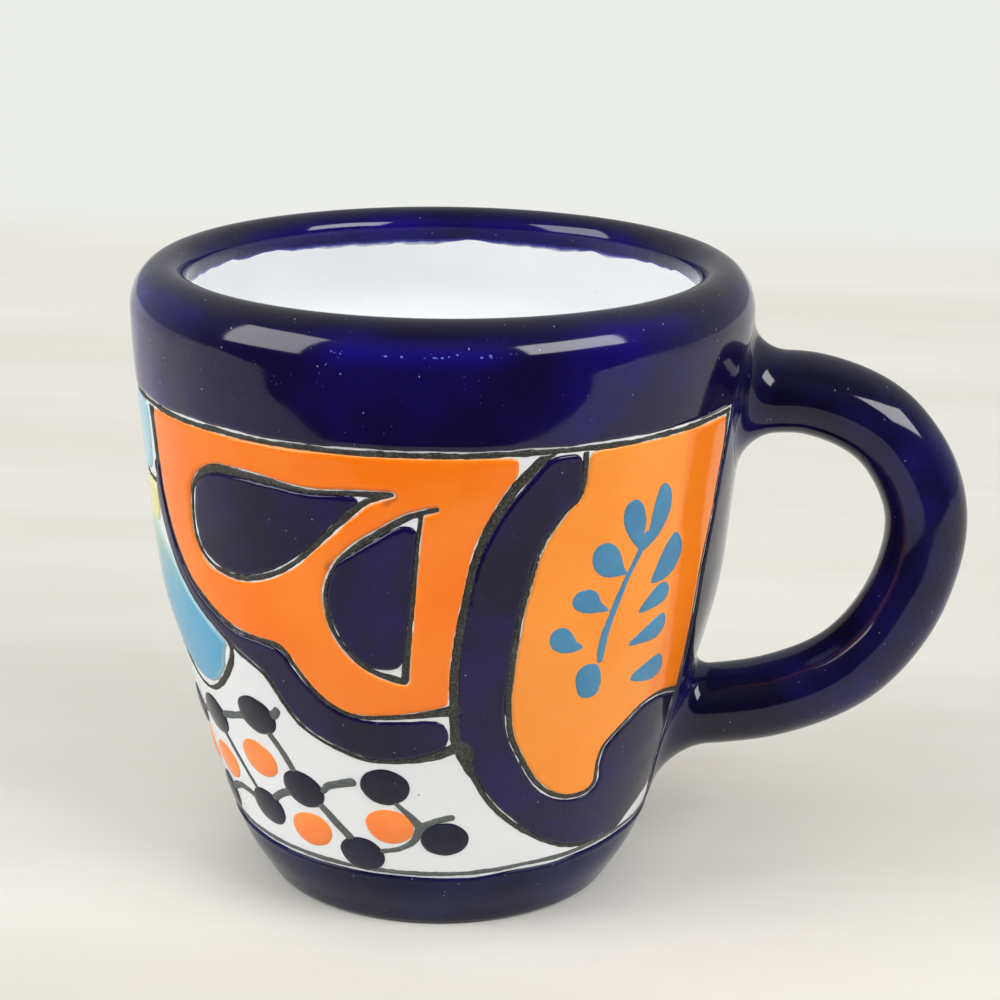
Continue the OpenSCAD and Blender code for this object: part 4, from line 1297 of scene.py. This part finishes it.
def contourSheet(grid, distance, side, grain):
    # the flat cells inside the zero line, cut along it: the places of the corners and their
    # distance from the line, and the triangles
    rows, columns = distance.shape
    wall = onWall(grid, side)
    size = paint["wobbleSize"]
    wavy = distance + paint["wobble"] * wobble(wall, size) \
        + paint["wobble"] * paint["fineShare"] * wobble(wall + 50, size / 3) \
        + grain * wobble(wall + 20, paint["grainSize"])
    index = np.arange(rows * columns).reshape(rows, columns)
    a, b = index[:-1, :-1].ravel(), index[:-1, 1:].ravel()
    c, d = index[1:, 1:].ravel(), index[1:, :-1].ravel()
    triangles = np.concatenate([np.stack([a, b, c], 1), np.stack([a, c, d], 1)])
    level = wavy.ravel()
    insideCount = (level[triangles] < 0).sum(1)

    def edgeKey(one, two):
        # one number for each grid edge that the line crosses
        return np.minimum(one, two).astype(np.int64) * (rows * columns) + np.maximum(one, two)

    cuts = []
    for count in (1, 2):
        some = triangles[insideCount == count]
        for k in range(3):
            # corner k is alone on its side of the line
            alone = (level[some[:, k]] < 0) == (count == 1)
            p, q, s = (some[alone, (k + step) % 3] for step in range(3))
            cuts.append((count, p, q, s, edgeKey(p, q), edgeKey(p, s)))
    crossed = np.unique(np.concatenate([key for cut in cuts for key in cut[4:]]))
    parts = [triangles[insideCount == 3]]
    for count, p, q, s, *keys in cuts:
        first, second = (rows * columns + np.searchsorted(crossed, key) for key in keys)
        if count == 1:
            parts.append(np.stack([p, first, second], 1))
        else:
            parts.append(np.stack([q, s, second], 1))
            parts.append(np.stack([q, second, first], 1))
    low, high = crossed // (rows * columns), crossed % (rows * columns)
    share = np.clip(level[low] / (level[low] - level[high]), 0.06, 0.94)  # leaves no slivers
    gridU, gridZ = grid["u"].ravel(), grid["z"].ravel()
    u = np.concatenate([gridU, gridU[low] + share * (gridU[high] - gridU[low])])
    z = np.concatenate([gridZ, gridZ[low] + share * (gridZ[high] - gridZ[low])])
    deep = np.concatenate([np.maximum(-level, 0), np.zeros(len(crossed))])
    kept, triangles = np.unique(np.concatenate(parts), return_inverse=True)
    return u[kept], z[kept], deep[kept], triangles.reshape(-1, 3)


def solidSheet(u, z, deep, triangles, side, relief, rounding, base):
    # gives the sheet its domed top, its sides and a bottom below the glaze that it lies on
    rise = relief * np.sqrt(1 - (1 - np.clip(deep / rounding, 0, 1)) ** 2)
    angle = -side * math.pi * u
    radius = wallRadius(z)
    level = radius - base

    def shell(r):
        return np.stack([r * np.cos(angle), r * np.sin(angle), z], -1)

    top = shell(level)
    ripple = paint["ripple"] * wobble(top, paint["rippleSize"]) * np.clip(deep, 0, 1)
    top = shell(level + rise + ripple)
    bottom = shell(level - paint["sunk"])
    count = len(u)
    if side < 0:
        triangles = triangles[:, ::-1]
    edges = np.concatenate([triangles[:, [0, 1]], triangles[:, [1, 2]], triangles[:, [2, 0]]])
    ordered = np.sort(edges, axis=1)
    code = ordered[:, 0].astype(np.int64) * count + ordered[:, 1]
    _, first, times = np.unique(code, return_index=True, return_counts=True)
    rim = edges[first[times == 1]]
    walls = np.concatenate([
        np.stack([rim[:, 1], rim[:, 0], rim[:, 0] + count], 1),
        np.stack([rim[:, 1], rim[:, 0] + count, rim[:, 1] + count], 1),
    ])
    faces = np.concatenate([triangles, triangles[:, ::-1] + count, walls])
    return np.concatenate([top, bottom]), faces, np.concatenate([deep, 0 * deep])


def paintedPiece(name, node, material, layers, relief=paint["relief"], base=colourBack,
                 rounding=paint["round"], grain=0.0):
    # one piece for a paint layer, from (grid, distance) pairs on both sides of the mug; a third
    # value keeps a pair that crosses the line opposite the handle to one side
    points, faces, insets = [], [], []
    start = 0
    for grid, distance, *sides in layers:
        for side in sides or (1, -1):
            sheet = contourSheet(grid, distance, side, grain)
            p, f, deep = solidSheet(*sheet, side, relief, rounding, base)
            points.append(p)
            faces.append(f + start)
            insets.append(deep)
            start += len(p)
    mesh = bpy.data.meshes.new(name)
    points = np.concatenate(points) * mm
    faces = np.concatenate(faces).astype(np.int32)
    mesh.vertices.add(len(points))
    mesh.vertices.foreach_set("co", points.ravel())
    mesh.loops.add(faces.size)
    mesh.loops.foreach_set("vertex_index", faces.ravel())
    mesh.polygons.add(len(faces))
    mesh.polygons.foreach_set("loop_start", np.arange(0, faces.size, 3, dtype=np.int32))
    mesh.polygons.foreach_set("loop_total", np.full(len(faces), 3, dtype=np.int32))
    setAttribute(mesh, "inset", np.concatenate(insets))
    mesh.update()
    mesh.validate()
    tidyMesh(mesh)
    dress(newObject(name, mesh, material), node)
    print(name, len(mesh.polygons), "faces")


def area(shares, gaps, grow=0.0):
    # a grid round a painted area and its distance there
    low, high, bottom, top = span(shares)
    grid = fieldGrid(low, high, max(bottom, paint["low"]), min(top, paint["high"]))
    return grid, cutArea(grid, shares, gaps, grow)


print("painting the field")
orangeGrid, orangeAway = area(orangeShares, 0.72)
for names in dropRings:
    orangeAway = np.maximum(orangeAway, -areaDistance(orangeGrid, ringOutline(names)))
paintedPiece("orangePanels", "orange_panels", materials["orange"],
             [(orangeGrid, orangeAway)])
paintedPiece("amberPanels", "amber_panels", materials["amber"],
             [area(amberShares, 0.9, 0.5)])
paintedPiece("teardrops", "teardrops", materials["cobaltDrop"],
             [area(longDropShares, 0.0, 0.3), area(roundDropShares, 0.0, 0.3)])
paintedPiece("waves", "waves", materials["cobaltDrop"], [area(waveShares, 0.0, 0.2)])

# the scroll leaves a thin white line beside the hook that it curls round
scrollGrid, scrollAway = area(scrollShares, 0.0, 0.3)
hook = next(line["points"] for line in smoothLines if line["name"] == "scrollHook")
thinStart = [[0, 0, 2 * paint["hookGap"] * (1 - k / len(hook)) ** 4] for k in range(len(hook))]
scrollAway = np.maximum(scrollAway, paint["hookGap"] - lineDistance(scrollGrid, hook - thinStart))
paintedPiece("scrolls", "scrolls", materials["cobaltDrop"], [(scrollGrid, scrollAway)])
petals = [area(lowPetalShares, 1.0), area(topPetalShares, 1.0)]
lastGrid = fieldGrid(0.9, 1.1, 0.22, 0.64)
petals.append((lastGrid, areaDistance(lastGrid, lastPetalShares), 1))
paintedPiece("flowerPetals", "flower_petals", materials["petal"], petals)
paintedPiece("flowerHearts", "flower_hearts", materials["heart"], [area(heartShares, 1.0)])
centreGrid = fieldGrid(0.92, 1.08,
                       centreDot["v"] - centreDot["reach"], centreDot["v"] + centreDot["reach"])
centreAway = lineDistance(centreGrid, [(1.0, centreDot["v"], centreDot["width"]),
                                       (1.0, centreDot["v"] + 0.001, centreDot["width"])])
paintedPiece("flowerCentre", "flower_centre", materials["orangeDot"],
             [(centreGrid, centreAway, 1)])

# the cobalt field round the handle's joints ends just under the edges of the rim and foot bands:
# mm past the rim band's edge, mm past the foot's dark line, and mm lower than the other colours
fieldUnder = {"rim": 0.3, "foot": 0.95, "lower": 0.02}
handleGrid = fieldGrid(0.0, 0.16, -0.05, 1.04)
handleOutline = np.concatenate([[(-0.3, 1.2)], fieldShares, [(-0.3, -0.2)]])
handleAway = areaDistance(handleGrid, handleOutline)
handleAway = softMax(handleAway, -darkDistance(handleGrid, 0.5), 0.2)
handleAway = np.maximum(handleAway, handleGrid["z"] - rimStart - fieldUnder["rim"])
handleAway = np.maximum(handleAway, footLineHeight(handleGrid["u"]) - fieldUnder["foot"] - handleGrid["z"])
paintedPiece("cobaltField", "handle_field_glaze", materials["handle"],
             [(handleGrid, handleAway)], relief=paint["relief"] - fieldUnder["lower"])

# the dark lines: the strokes of the panels, then the two lines that run round the mug
strokeGrid = fieldGrid(0.0, 1.0, -0.03, 1.0)
strokeAway = darkDistance(strokeGrid, 0.0)
strokeAway = np.maximum(strokeAway, rimLimit(strokeGrid))
strokeAway = np.maximum(strokeAway, footLimit(strokeGrid))
paintedPiece("darkOutlines", "dark_outlines", materials["charcoal"],
             [(strokeGrid, strokeAway)], relief=paint["lineRelief"], rounding=paint["lineRound"],
             grain=paint["grain"])


def rimLineHeight(u):
    return rimLine - wholeLines["rimDrop"] + 0 * u


def wholeLine(name, node, material, heightAt, width):
    # a line from the edge of the handle's field round to the opposite side, at the given height
    level = (heightAt(0.1) - mug["footLine"]) / fieldHeight
    start = fieldShares[np.argmin(np.abs(fieldShares[:, 1] - level)), 0]
    low = (heightAt(0.5) - mug["footLine"]) / fieldHeight
    grid = fieldGrid(start + 0.004, 1.0, low - 0.04, low + 0.06)
    wall = onWall(grid, 1)
    sway = wholeLines["wobble"] * wobble(wall, wholeLines["wobbleSize"])
    half = width * (0.5 + wholeLines["swell"] * wobble(wall, wholeLines["swellSize"]))
    away = np.abs(grid["z"] - heightAt(grid["u"]) - sway) - half
    paintedPiece(name, node, material, [(grid, away)], relief=paint["lineRelief"],
                 rounding=paint["lineRound"], grain=paint["grain"])


wholeLine("rimLine", "rim_line", materials["charcoal"], rimLineHeight, wholeLines["rimWidth"])
wholeLine("footLine", "foot_line", materials["grey"], footLineHeight, wholeLines["footWidth"])
print("field painted")

# dots: flat domes set on their places by a Geometry Nodes tree, then wrapped on the wall
dots = {
    "width": 6.5,
    "height": 5.8,
    "dome": 0.42,
    "uneven": 0.42,
    "unevenSize": 3.2,
    "stretch": 0.03,
    "tilt": 0.12,
    "segments": 56,
    "rings": 22,
    "edgeScale": 2.2,  # mm of inset at the top of a dome
    "seed": 4,
    "flatRadius": 40.0,
    "widen": 1.27,  # makes up for the wall, which is narrower there than the flat radius
}
blueDotShares = [
    (0.4606, 0.099), (0.5366, 0.23), (0.5795, 0.045), (0.6558, 0.188), (0.7356, 0.104),
    (0.7095, 0.348), (0.814, 0.292), (0.87, 0.07), (0.905, 0.262),
]
orangeDotShares = [(0.535, 0.127), (0.6561, 0.084), (0.7262, 0.232), (0.8232, 0.173), (0.93, 0.15)]
# the lattice's strokes: (u, v, width in mm) at each point
latticeShares = [
    [(0.814, 0.292, 0.9), (0.7095, 0.348, 0.95)],
    [(0.7095, 0.348, 1.0), (0.6894, 0.355, 1.2), (0.6771, 0.365, 1.2), (0.6715, 0.377, 1.0)],
    [(0.7095, 0.348, 0.9), (0.675, 0.265, 0.95), (0.6558, 0.188, 1.0)],
    [(0.814, 0.292, 0.8), (0.7356, 0.104, 0.7)],
    [(0.87, 0.07, 0.9), (0.8, 0.12, 0.9), (0.7356, 0.104, 0.9)],
    [(0.7356, 0.104, 0.8), (0.7, 0.155, 1.0), (0.6558, 0.188, 1.0)],
    [(0.6558, 0.188, 0.9), (0.6254, 0.195, 0.75), (0.6146, 0.212, 0.9), (0.5925, 0.226, 1.1),
     (0.58, 0.233, 1.2)],
    [(0.6558, 0.188, 1.0), (0.635, 0.161, 1.0), (0.6117, 0.117, 1.1), (0.5922, 0.079, 1.1),
     (0.5795, 0.045, 1.0)],
    [(0.5366, 0.23, 0.8), (0.5231, 0.189, 0.6), (0.5079, 0.162, 0.8), (0.4923, 0.13, 1.2)],
    [(0.4923, 0.13, 1.1), (0.4739, 0.147, 0.9), (0.4518, 0.157, 0.9)],
    [(0.4923, 0.13, 1.1), (0.5026, 0.093, 0.8), (0.5234, 0.07, 0.6), (0.5482, 0.059, 0.6),
     (0.5795, 0.045, 0.6)],
    [(0.905, 0.262, 0.9), (0.814, 0.292, 0.9)],
]


def buildDotTree():
    graph, given, sockets = newTree("dotDabs", "Places", "Dabs", {
        "Width": "Float", "Height": "Float", "Dome": "Float", "Uneven": "Float", "Seed": "Int",
        "Material": "Material",
    })
    dome = graph.node("GeometryNodeMeshUVSphere", None, {
        "Segments": dots["segments"], "Rings": dots["rings"], "Radius": 0.5,
    })
    points = graph.node("GeometryNodeMeshToPoints", None, {"Mesh": given["Places"]})
    stretch = graph.node("FunctionNodeRandomValue", {"data_type": "FLOAT"}, {
        2: 1 - dots["stretch"], 3: 1 + dots["stretch"], "Seed": given["Seed"],
    }, 1)
    size = graph.join(given["Width"] * stretch, given["Dome"] * 2, given["Height"] * (2 - stretch))
    tilt = graph.node("FunctionNodeRandomValue", {"data_type": "FLOAT"}, {
        2: -dots["tilt"], 3: dots["tilt"], "Seed": given["Seed"] + 7,
    }, 1)
    placed = graph.node("GeometryNodeInstanceOnPoints", None, {
        "Points": points, "Instance": dome, "Scale": size, "Rotation": graph.join(0.0, tilt, 0.0),
    })
    real = graph.node("GeometryNodeRealizeInstances", None, {"Geometry": placed})
    lump = graph.node("ShaderNodeTexNoise", {"noise_dimensions": "3D"}, {
        "Vector": graph.node("GeometryNodeInputPosition"), "Scale": 1 / (dots["unevenSize"] * mm),
        "Detail": 1.0,
    }, 1)
    centred = graph.vectors("SUBTRACT", {0: lump, 1: (0.5, 0.5, 0.5)})
    flat = graph.vectors("MULTIPLY", {0: centred, 1: (1.0, 0.0, 1.0)})
    offset = graph.vectors("SCALE", {0: flat, "Scale": given["Uneven"]})
    moved = graph.node("GeometryNodeSetPosition", None, {"Geometry": real, "Offset": offset})
    shaded = graph.node("GeometryNodeSetShadeSmooth", None, {"Geometry": moved})
    painted = graph.node("GeometryNodeSetMaterial", None, {"Geometry": shaded, "Material": given["Material"]})
    graph.node("NodeGroupOutput", None, {"Dabs": painted})
    return graph.tree, sockets


dotTree, dotSockets = buildDotTree()


def dotPiece(name, node, shares, material, seed):
    places = []
    for side in (1, -1):
        for u, v in shares:
            places.append((-side * math.pi * u * dots["flatRadius"], 0, mug["footLine"] + v * fieldHeight))
    mesh = runTree(name, meshFrom(name + "Places", places, []), dotTree, dotSockets, {
        "Width": dots["width"] * mm * dots["widen"], "Height": dots["height"] * mm,
        "Dome": dots["dome"] * mm, "Uneven": dots["uneven"] * mm, "Seed": seed,
    }, material)
    points = meshPoints(mesh)
    setAttribute(mesh, "inset", dots["edgeScale"] * np.abs(points[:, 1]) / dots["dome"])

    # flat places (x along the wall, y out of it) go round the mug
    angle = points[:, 0] / dots["flatRadius"]
    radius = wallRadius(points[:, 2]) - colourBack + points[:, 1]
    movePoints(mesh, np.stack([radius * np.cos(angle), radius * np.sin(angle), points[:, 2]], -1))
    tidyMesh(mesh)
    dress(newObject(name, mesh, material), node)


dotPiece("blueDots", "blue_dots", blueDotShares, materials["navy"], dots["seed"])
dotPiece("orangeDots", "orange_dots", orangeDotShares, materials["orangeDot"],
         dots["seed"] + 1)
latticeGrid = fieldGrid(0.42, 1.0, 0.0, 0.42)
latticeAway = np.full(latticeGrid["u"].shape, farAway)
for points in latticeShares:
    away = lineDistance(latticeGrid, smooth(points, 4)) - paint["latticeWider"]
    latticeAway = np.minimum(latticeAway, away)
paintedPiece("latticeLines", "lattice_lines", materials["grey"],
             [(latticeGrid, latticeAway)], relief=paint["latticeRelief"], rounding=paint["latticeRound"])

# the sprig: a stem and brush-pressed leaves that stand on the amber panel
sprig = {"relief": 0.16, "rounding": 0.7, "base": 0.03, "stemWider": 0.19}
stemPoints = [
    (0.2876, 0.519, 0.6), (0.2879, 0.54, 1.0), (0.2865, 0.575, 1.0), (0.2839, 0.594, 0.9),
    (0.2766, 0.638, 0.85), (0.2671, 0.684, 0.75), (0.2589, 0.716, 0.7), (0.2504, 0.746, 0.75),
    (0.242, 0.785, 0.7),
]
leafShares = [
    [(0.2466, 0.75), (0.2409, 0.788), (0.2376, 0.826), (0.2344, 0.864), (0.2287, 0.888), (0.2211, 0.89),
     (0.2116, 0.871), (0.2091, 0.84), (0.2138, 0.806), (0.2247, 0.775), (0.2385, 0.754)],
    [(0.2532, 0.757), (0.267, 0.789), (0.2755, 0.821), (0.2758, 0.851), (0.2684, 0.868), (0.258, 0.867),
     (0.2484, 0.844), (0.2448, 0.813), (0.2476, 0.778)],
    [(0.2634, 0.704), (0.2796, 0.705), (0.2946, 0.709), (0.3068, 0.73), (0.3107, 0.758), (0.3055, 0.78),
     (0.2938, 0.786), (0.2816, 0.774), (0.2734, 0.748), (0.2691, 0.724)],
    [(0.2831, 0.63), (0.2987, 0.631), (0.3167, 0.635), (0.3282, 0.652), (0.3295, 0.672), (0.3219, 0.686),
     (0.3098, 0.688), (0.2998, 0.676), (0.2942, 0.654)],
    [(0.3104, 0.556), (0.3234, 0.548), (0.3374, 0.55), (0.3488, 0.564), (0.3528, 0.586), (0.3494, 0.603),
     (0.338, 0.61), (0.3273, 0.597), (0.3205, 0.574)],
    [(0.2914, 0.51), (0.2839, 0.49), (0.2798, 0.46), (0.2831, 0.433), (0.2957, 0.428), (0.3088, 0.44),
     (0.3153, 0.47), (0.3146, 0.498), (0.3049, 0.514)],
    [(0.2298, 0.672), (0.224, 0.702), (0.215, 0.737), (0.2051, 0.762), (0.1954, 0.771), (0.1844, 0.749),
     (0.1813, 0.721), (0.189, 0.691), (0.203, 0.672), (0.2194, 0.666)],
    [(0.2446, 0.608), (0.2333, 0.636), (0.219, 0.659), (0.2058, 0.664), (0.1976, 0.648), (0.1981, 0.629),
     (0.2085, 0.614), (0.2269, 0.608)],
    [(0.2517, 0.535), (0.2386, 0.558), (0.22, 0.579), (0.2031, 0.592), (0.1959, 0.577), (0.1959, 0.553),
     (0.2077, 0.533), (0.2291, 0.531)],
    [(0.2356, 0.446), (0.2307, 0.465), (0.2115, 0.481), (0.1953, 0.491), (0.1839, 0.473), (0.1807, 0.442),
     (0.1944, 0.428), (0.2167, 0.432)],
]
sprigGrid = fieldGrid(0.17, 0.37, 0.38, 0.93)
sprigAway = lineDistance(sprigGrid, smooth(stemPoints, 3)) - sprig["stemWider"]
for leaf in leafShares:
    sprigAway = np.minimum(sprigAway, areaDistance(sprigGrid, smooth(leaf, 2, closed=True)))
paintedPiece("sprigs", "sprigs", materials["teal"], [(sprigGrid, sprigAway)],
             relief=sprig["relief"], rounding=sprig["rounding"], base=sprig["base"])
print("dots, lattice and sprigs made")

# the floor: pale whitewashed boards, which turn into a plain pale wall at the back
floor = {
    "side": 1.5,  # metres, as the seven below
    "front": -0.17,
    "back": 1.9,
    "plainStart": -0.1,
    "wallStart": 0.43,
    "wallFade": 0.1,
    "nearFade": (-0.16, 0.06),
    "leftFade": (-0.12, 0.05),
    "boards": [(228, 225, 216), (239, 237, 230)],
    "boardFade": (0.3, 0.75),
    "stretch": (0.35, 1.6, 1.0),
    "turn": 0.05,
    "stain": (186, 168, 150),
    "stainFade": (0.66, 0.82),
    "stainShare": 0.4,
    "shade": (120, 114, 104),
    "shadeShare": 0.28,
    "shadeLeft": 0.2,  # how much more on the left
    "wall": (236, 238, 233),
    "rough": 0.55,
    "roughMore": 0.2,
    "specular": 0.2,
}


def floorMaterial():
    material, graph = newMaterial("whitewashedFloor")
    x, y = graph.split(graph.place())[:2]
    stretched = graph.node("ShaderNodeMapping", None, {
        "Vector": graph.place(), "Scale": floor["stretch"], "Rotation": (0.0, 0.0, floor["turn"]),
    })
    cloud = graph.node("ShaderNodeTexNoise", None, {
        "Vector": stretched, "Scale": 9.0, "Detail": 6.0, "Roughness": 0.6,
    })
    body = graph.blend(graph.step(cloud, *floor["boardFade"]), *floor["boards"])
    stain = graph.node("ShaderNodeTexNoise", None, {
        "Vector": stretched, "Scale": 26.0, "Detail": 5.0, "Roughness": 0.62,
    })
    stained = graph.blend(graph.step(stain, *floor["stainFade"]) * floor["stainShare"], body, floor["stain"])
    near = 1 - graph.step(y, *floor["nearFade"])
    left = 1 - graph.step(x, *floor["leftFade"])
    shade = near * (floor["shadeShare"] + floor["shadeLeft"] * left)
    shaded = graph.blend(shade, stained, floor["shade"])
    wall = graph.step(y, floor["wallStart"], floor["wallStart"] + floor["wallFade"])
    base = graph.blend(wall, shaded, floor["wall"])
    lit = graph.node("ShaderNodeBsdfPrincipled", None, {
        "Base Color": base, "Roughness": floor["rough"] + floor["roughMore"] * cloud,
        "Specular IOR Level": floor["specular"],
    })

    # towards the back the eye and the reflections see the plain colour, without light or shade
    rays = graph.node("ShaderNodeLightPath").siblings()
    seen = graph.maths("MAXIMUM", rays["Is Camera Ray"], rays["Is Glossy Ray"])
    seen = graph.maths("MAXIMUM", seen, rays["Is Transmission Ray"])
    plain = graph.node("ShaderNodeEmission", None, {"Color": base, "Strength": 1.0})
    far = graph.step(y, floor["plainStart"], floor["wallStart"])
    surface = graph.node("ShaderNodeMixShader", None, {0: far * seen, 1: lit, 2: plain})
    graph.node("ShaderNodeOutputMaterial", None, {"Surface": surface})
    return material


floorMesh = bpy.data.meshes.new("floor")
floorMesh.from_pydata([
    (-floor["side"], floor["front"], 0), (floor["side"], floor["front"], 0),
    (floor["side"], floor["back"], 0), (-floor["side"], floor["back"], 0),
], [], [(0, 1, 2, 3)])
floorPiece = newObject("floor", floorMesh, floorMaterial())

# the camera: where the photograph was taken from, fitted to the mug's outline, in mm and degrees;
# clipStart is in metres
view = {"away": 378.4, "height": 169.0, "yaw": 1.28, "pitch": 16.62, "roll": 0.73, "turn": 6.0,
        "focalPixels": 2701.0, "imagePixels": 1000.0, "sensor": 36.0, "clipStart": 0.01}


def addCamera():
    yaw, pitch, roll = (math.radians(view[key]) for key in ("yaw", "pitch", "roll"))
    ahead = Vector((math.sin(yaw) * math.cos(pitch), math.cos(yaw) * math.cos(pitch), -math.sin(pitch)))
    right = Vector((math.cos(yaw), -math.sin(yaw), 0))
    up = right.cross(ahead)
    rolledRight = math.cos(roll) * right + math.sin(roll) * up
    rolledUp = -math.sin(roll) * right + math.cos(roll) * up
    place = Vector((0, -view["away"], view["height"])) * mm
    axes = Matrix((rolledRight, rolledUp, -ahead)).transposed().to_4x4()
    turn = Matrix.Rotation(math.radians(view["turn"]), 4, "Z")
    camera = bpy.data.cameras.new("camera")
    camera.sensor_width = view["sensor"]
    camera.lens = view["sensor"] * view["focalPixels"] / view["imagePixels"]
    camera.clip_start = view["clipStart"]
    holder = bpy.data.objects.new("camera", camera)
    bpy.context.scene.collection.objects.link(holder)
    holder.matrix_world = turn @ Matrix.Translation(place) @ axes
    bpy.context.scene.camera = holder


addCamera()

# lights: two window-like panels in front and above, a soft one overhead, and an even room; metres
# and watts
lamps = [
    {"name": "leftWindow", "place": (-0.73, -0.4, 0.49), "size": (0.54, 0.56),
     "power": 6.3, "gloss": True},
    {"name": "rightWindow", "place": (0.68, -0.46, 0.58), "size": (0.6, 0.32),
     "power": 6.1, "gloss": True},
    {"name": "frontFill", "place": (0.05, -0.75, 0.85), "size": (1.3, 0.5),
     "power": 3.9, "gloss": False},
    {"name": "overhead", "place": (0.0, -0.1, 1.7), "size": (2.2, 1.6),
     "power": 3.35, "gloss": False},
]
room = {
    "ambient": 0.5,
    "front": 0.02,
    "above": 0.15,
    "behindFade": (-0.5, 0.6),
    "aboveFade": (0.1, 0.9),
    "backdrop": (238, 240, 238),
}


def addLamp(lamp):
    light = bpy.data.lights.new(lamp["name"], "AREA")
    light.shape = "RECTANGLE"
    light.size, light.size_y = lamp["size"]
    light.energy = lamp["power"]
    holder = bpy.data.objects.new(lamp["name"], light)
    holder.visible_glossy = lamp["gloss"]
    bpy.context.scene.collection.objects.link(holder)
    place = Vector(lamp["place"])
    aim = Vector((0, 0, mug["height"] * mm / 2)) - place
    holder.matrix_world = Matrix.Translation(place) @ aim.to_track_quat("-Z", "Y").to_matrix().to_4x4()


for lamp in lamps:
    addLamp(lamp)


def lightRoom():
    world = bpy.data.worlds.new("room")
    world.use_nodes = True
    bpy.context.scene.world = world
    graph = Graph(world.node_tree)
    y, z = graph.split(graph.node("ShaderNodeTexCoord", output="Generated"))[1:]
    behind = graph.step(y, *room["behindFade"])
    high = graph.step(z, *room["aboveFade"])
    level = room["front"] + (room["ambient"] - room["front"]) * behind + room["above"] * high
    seen = graph.node("ShaderNodeLightPath", output="Is Camera Ray")
    background = graph.node("ShaderNodeBackground", None, {
        "Color": colour(*room["backdrop"]), "Strength": level * (1 - seen) + seen,
    })
    graph.node("ShaderNodeOutputWorld", None, {"Surface": background})


lightRoom()
bpy.context.scene.view_settings.view_transform = "Standard"
print("stage, camera and lights made")
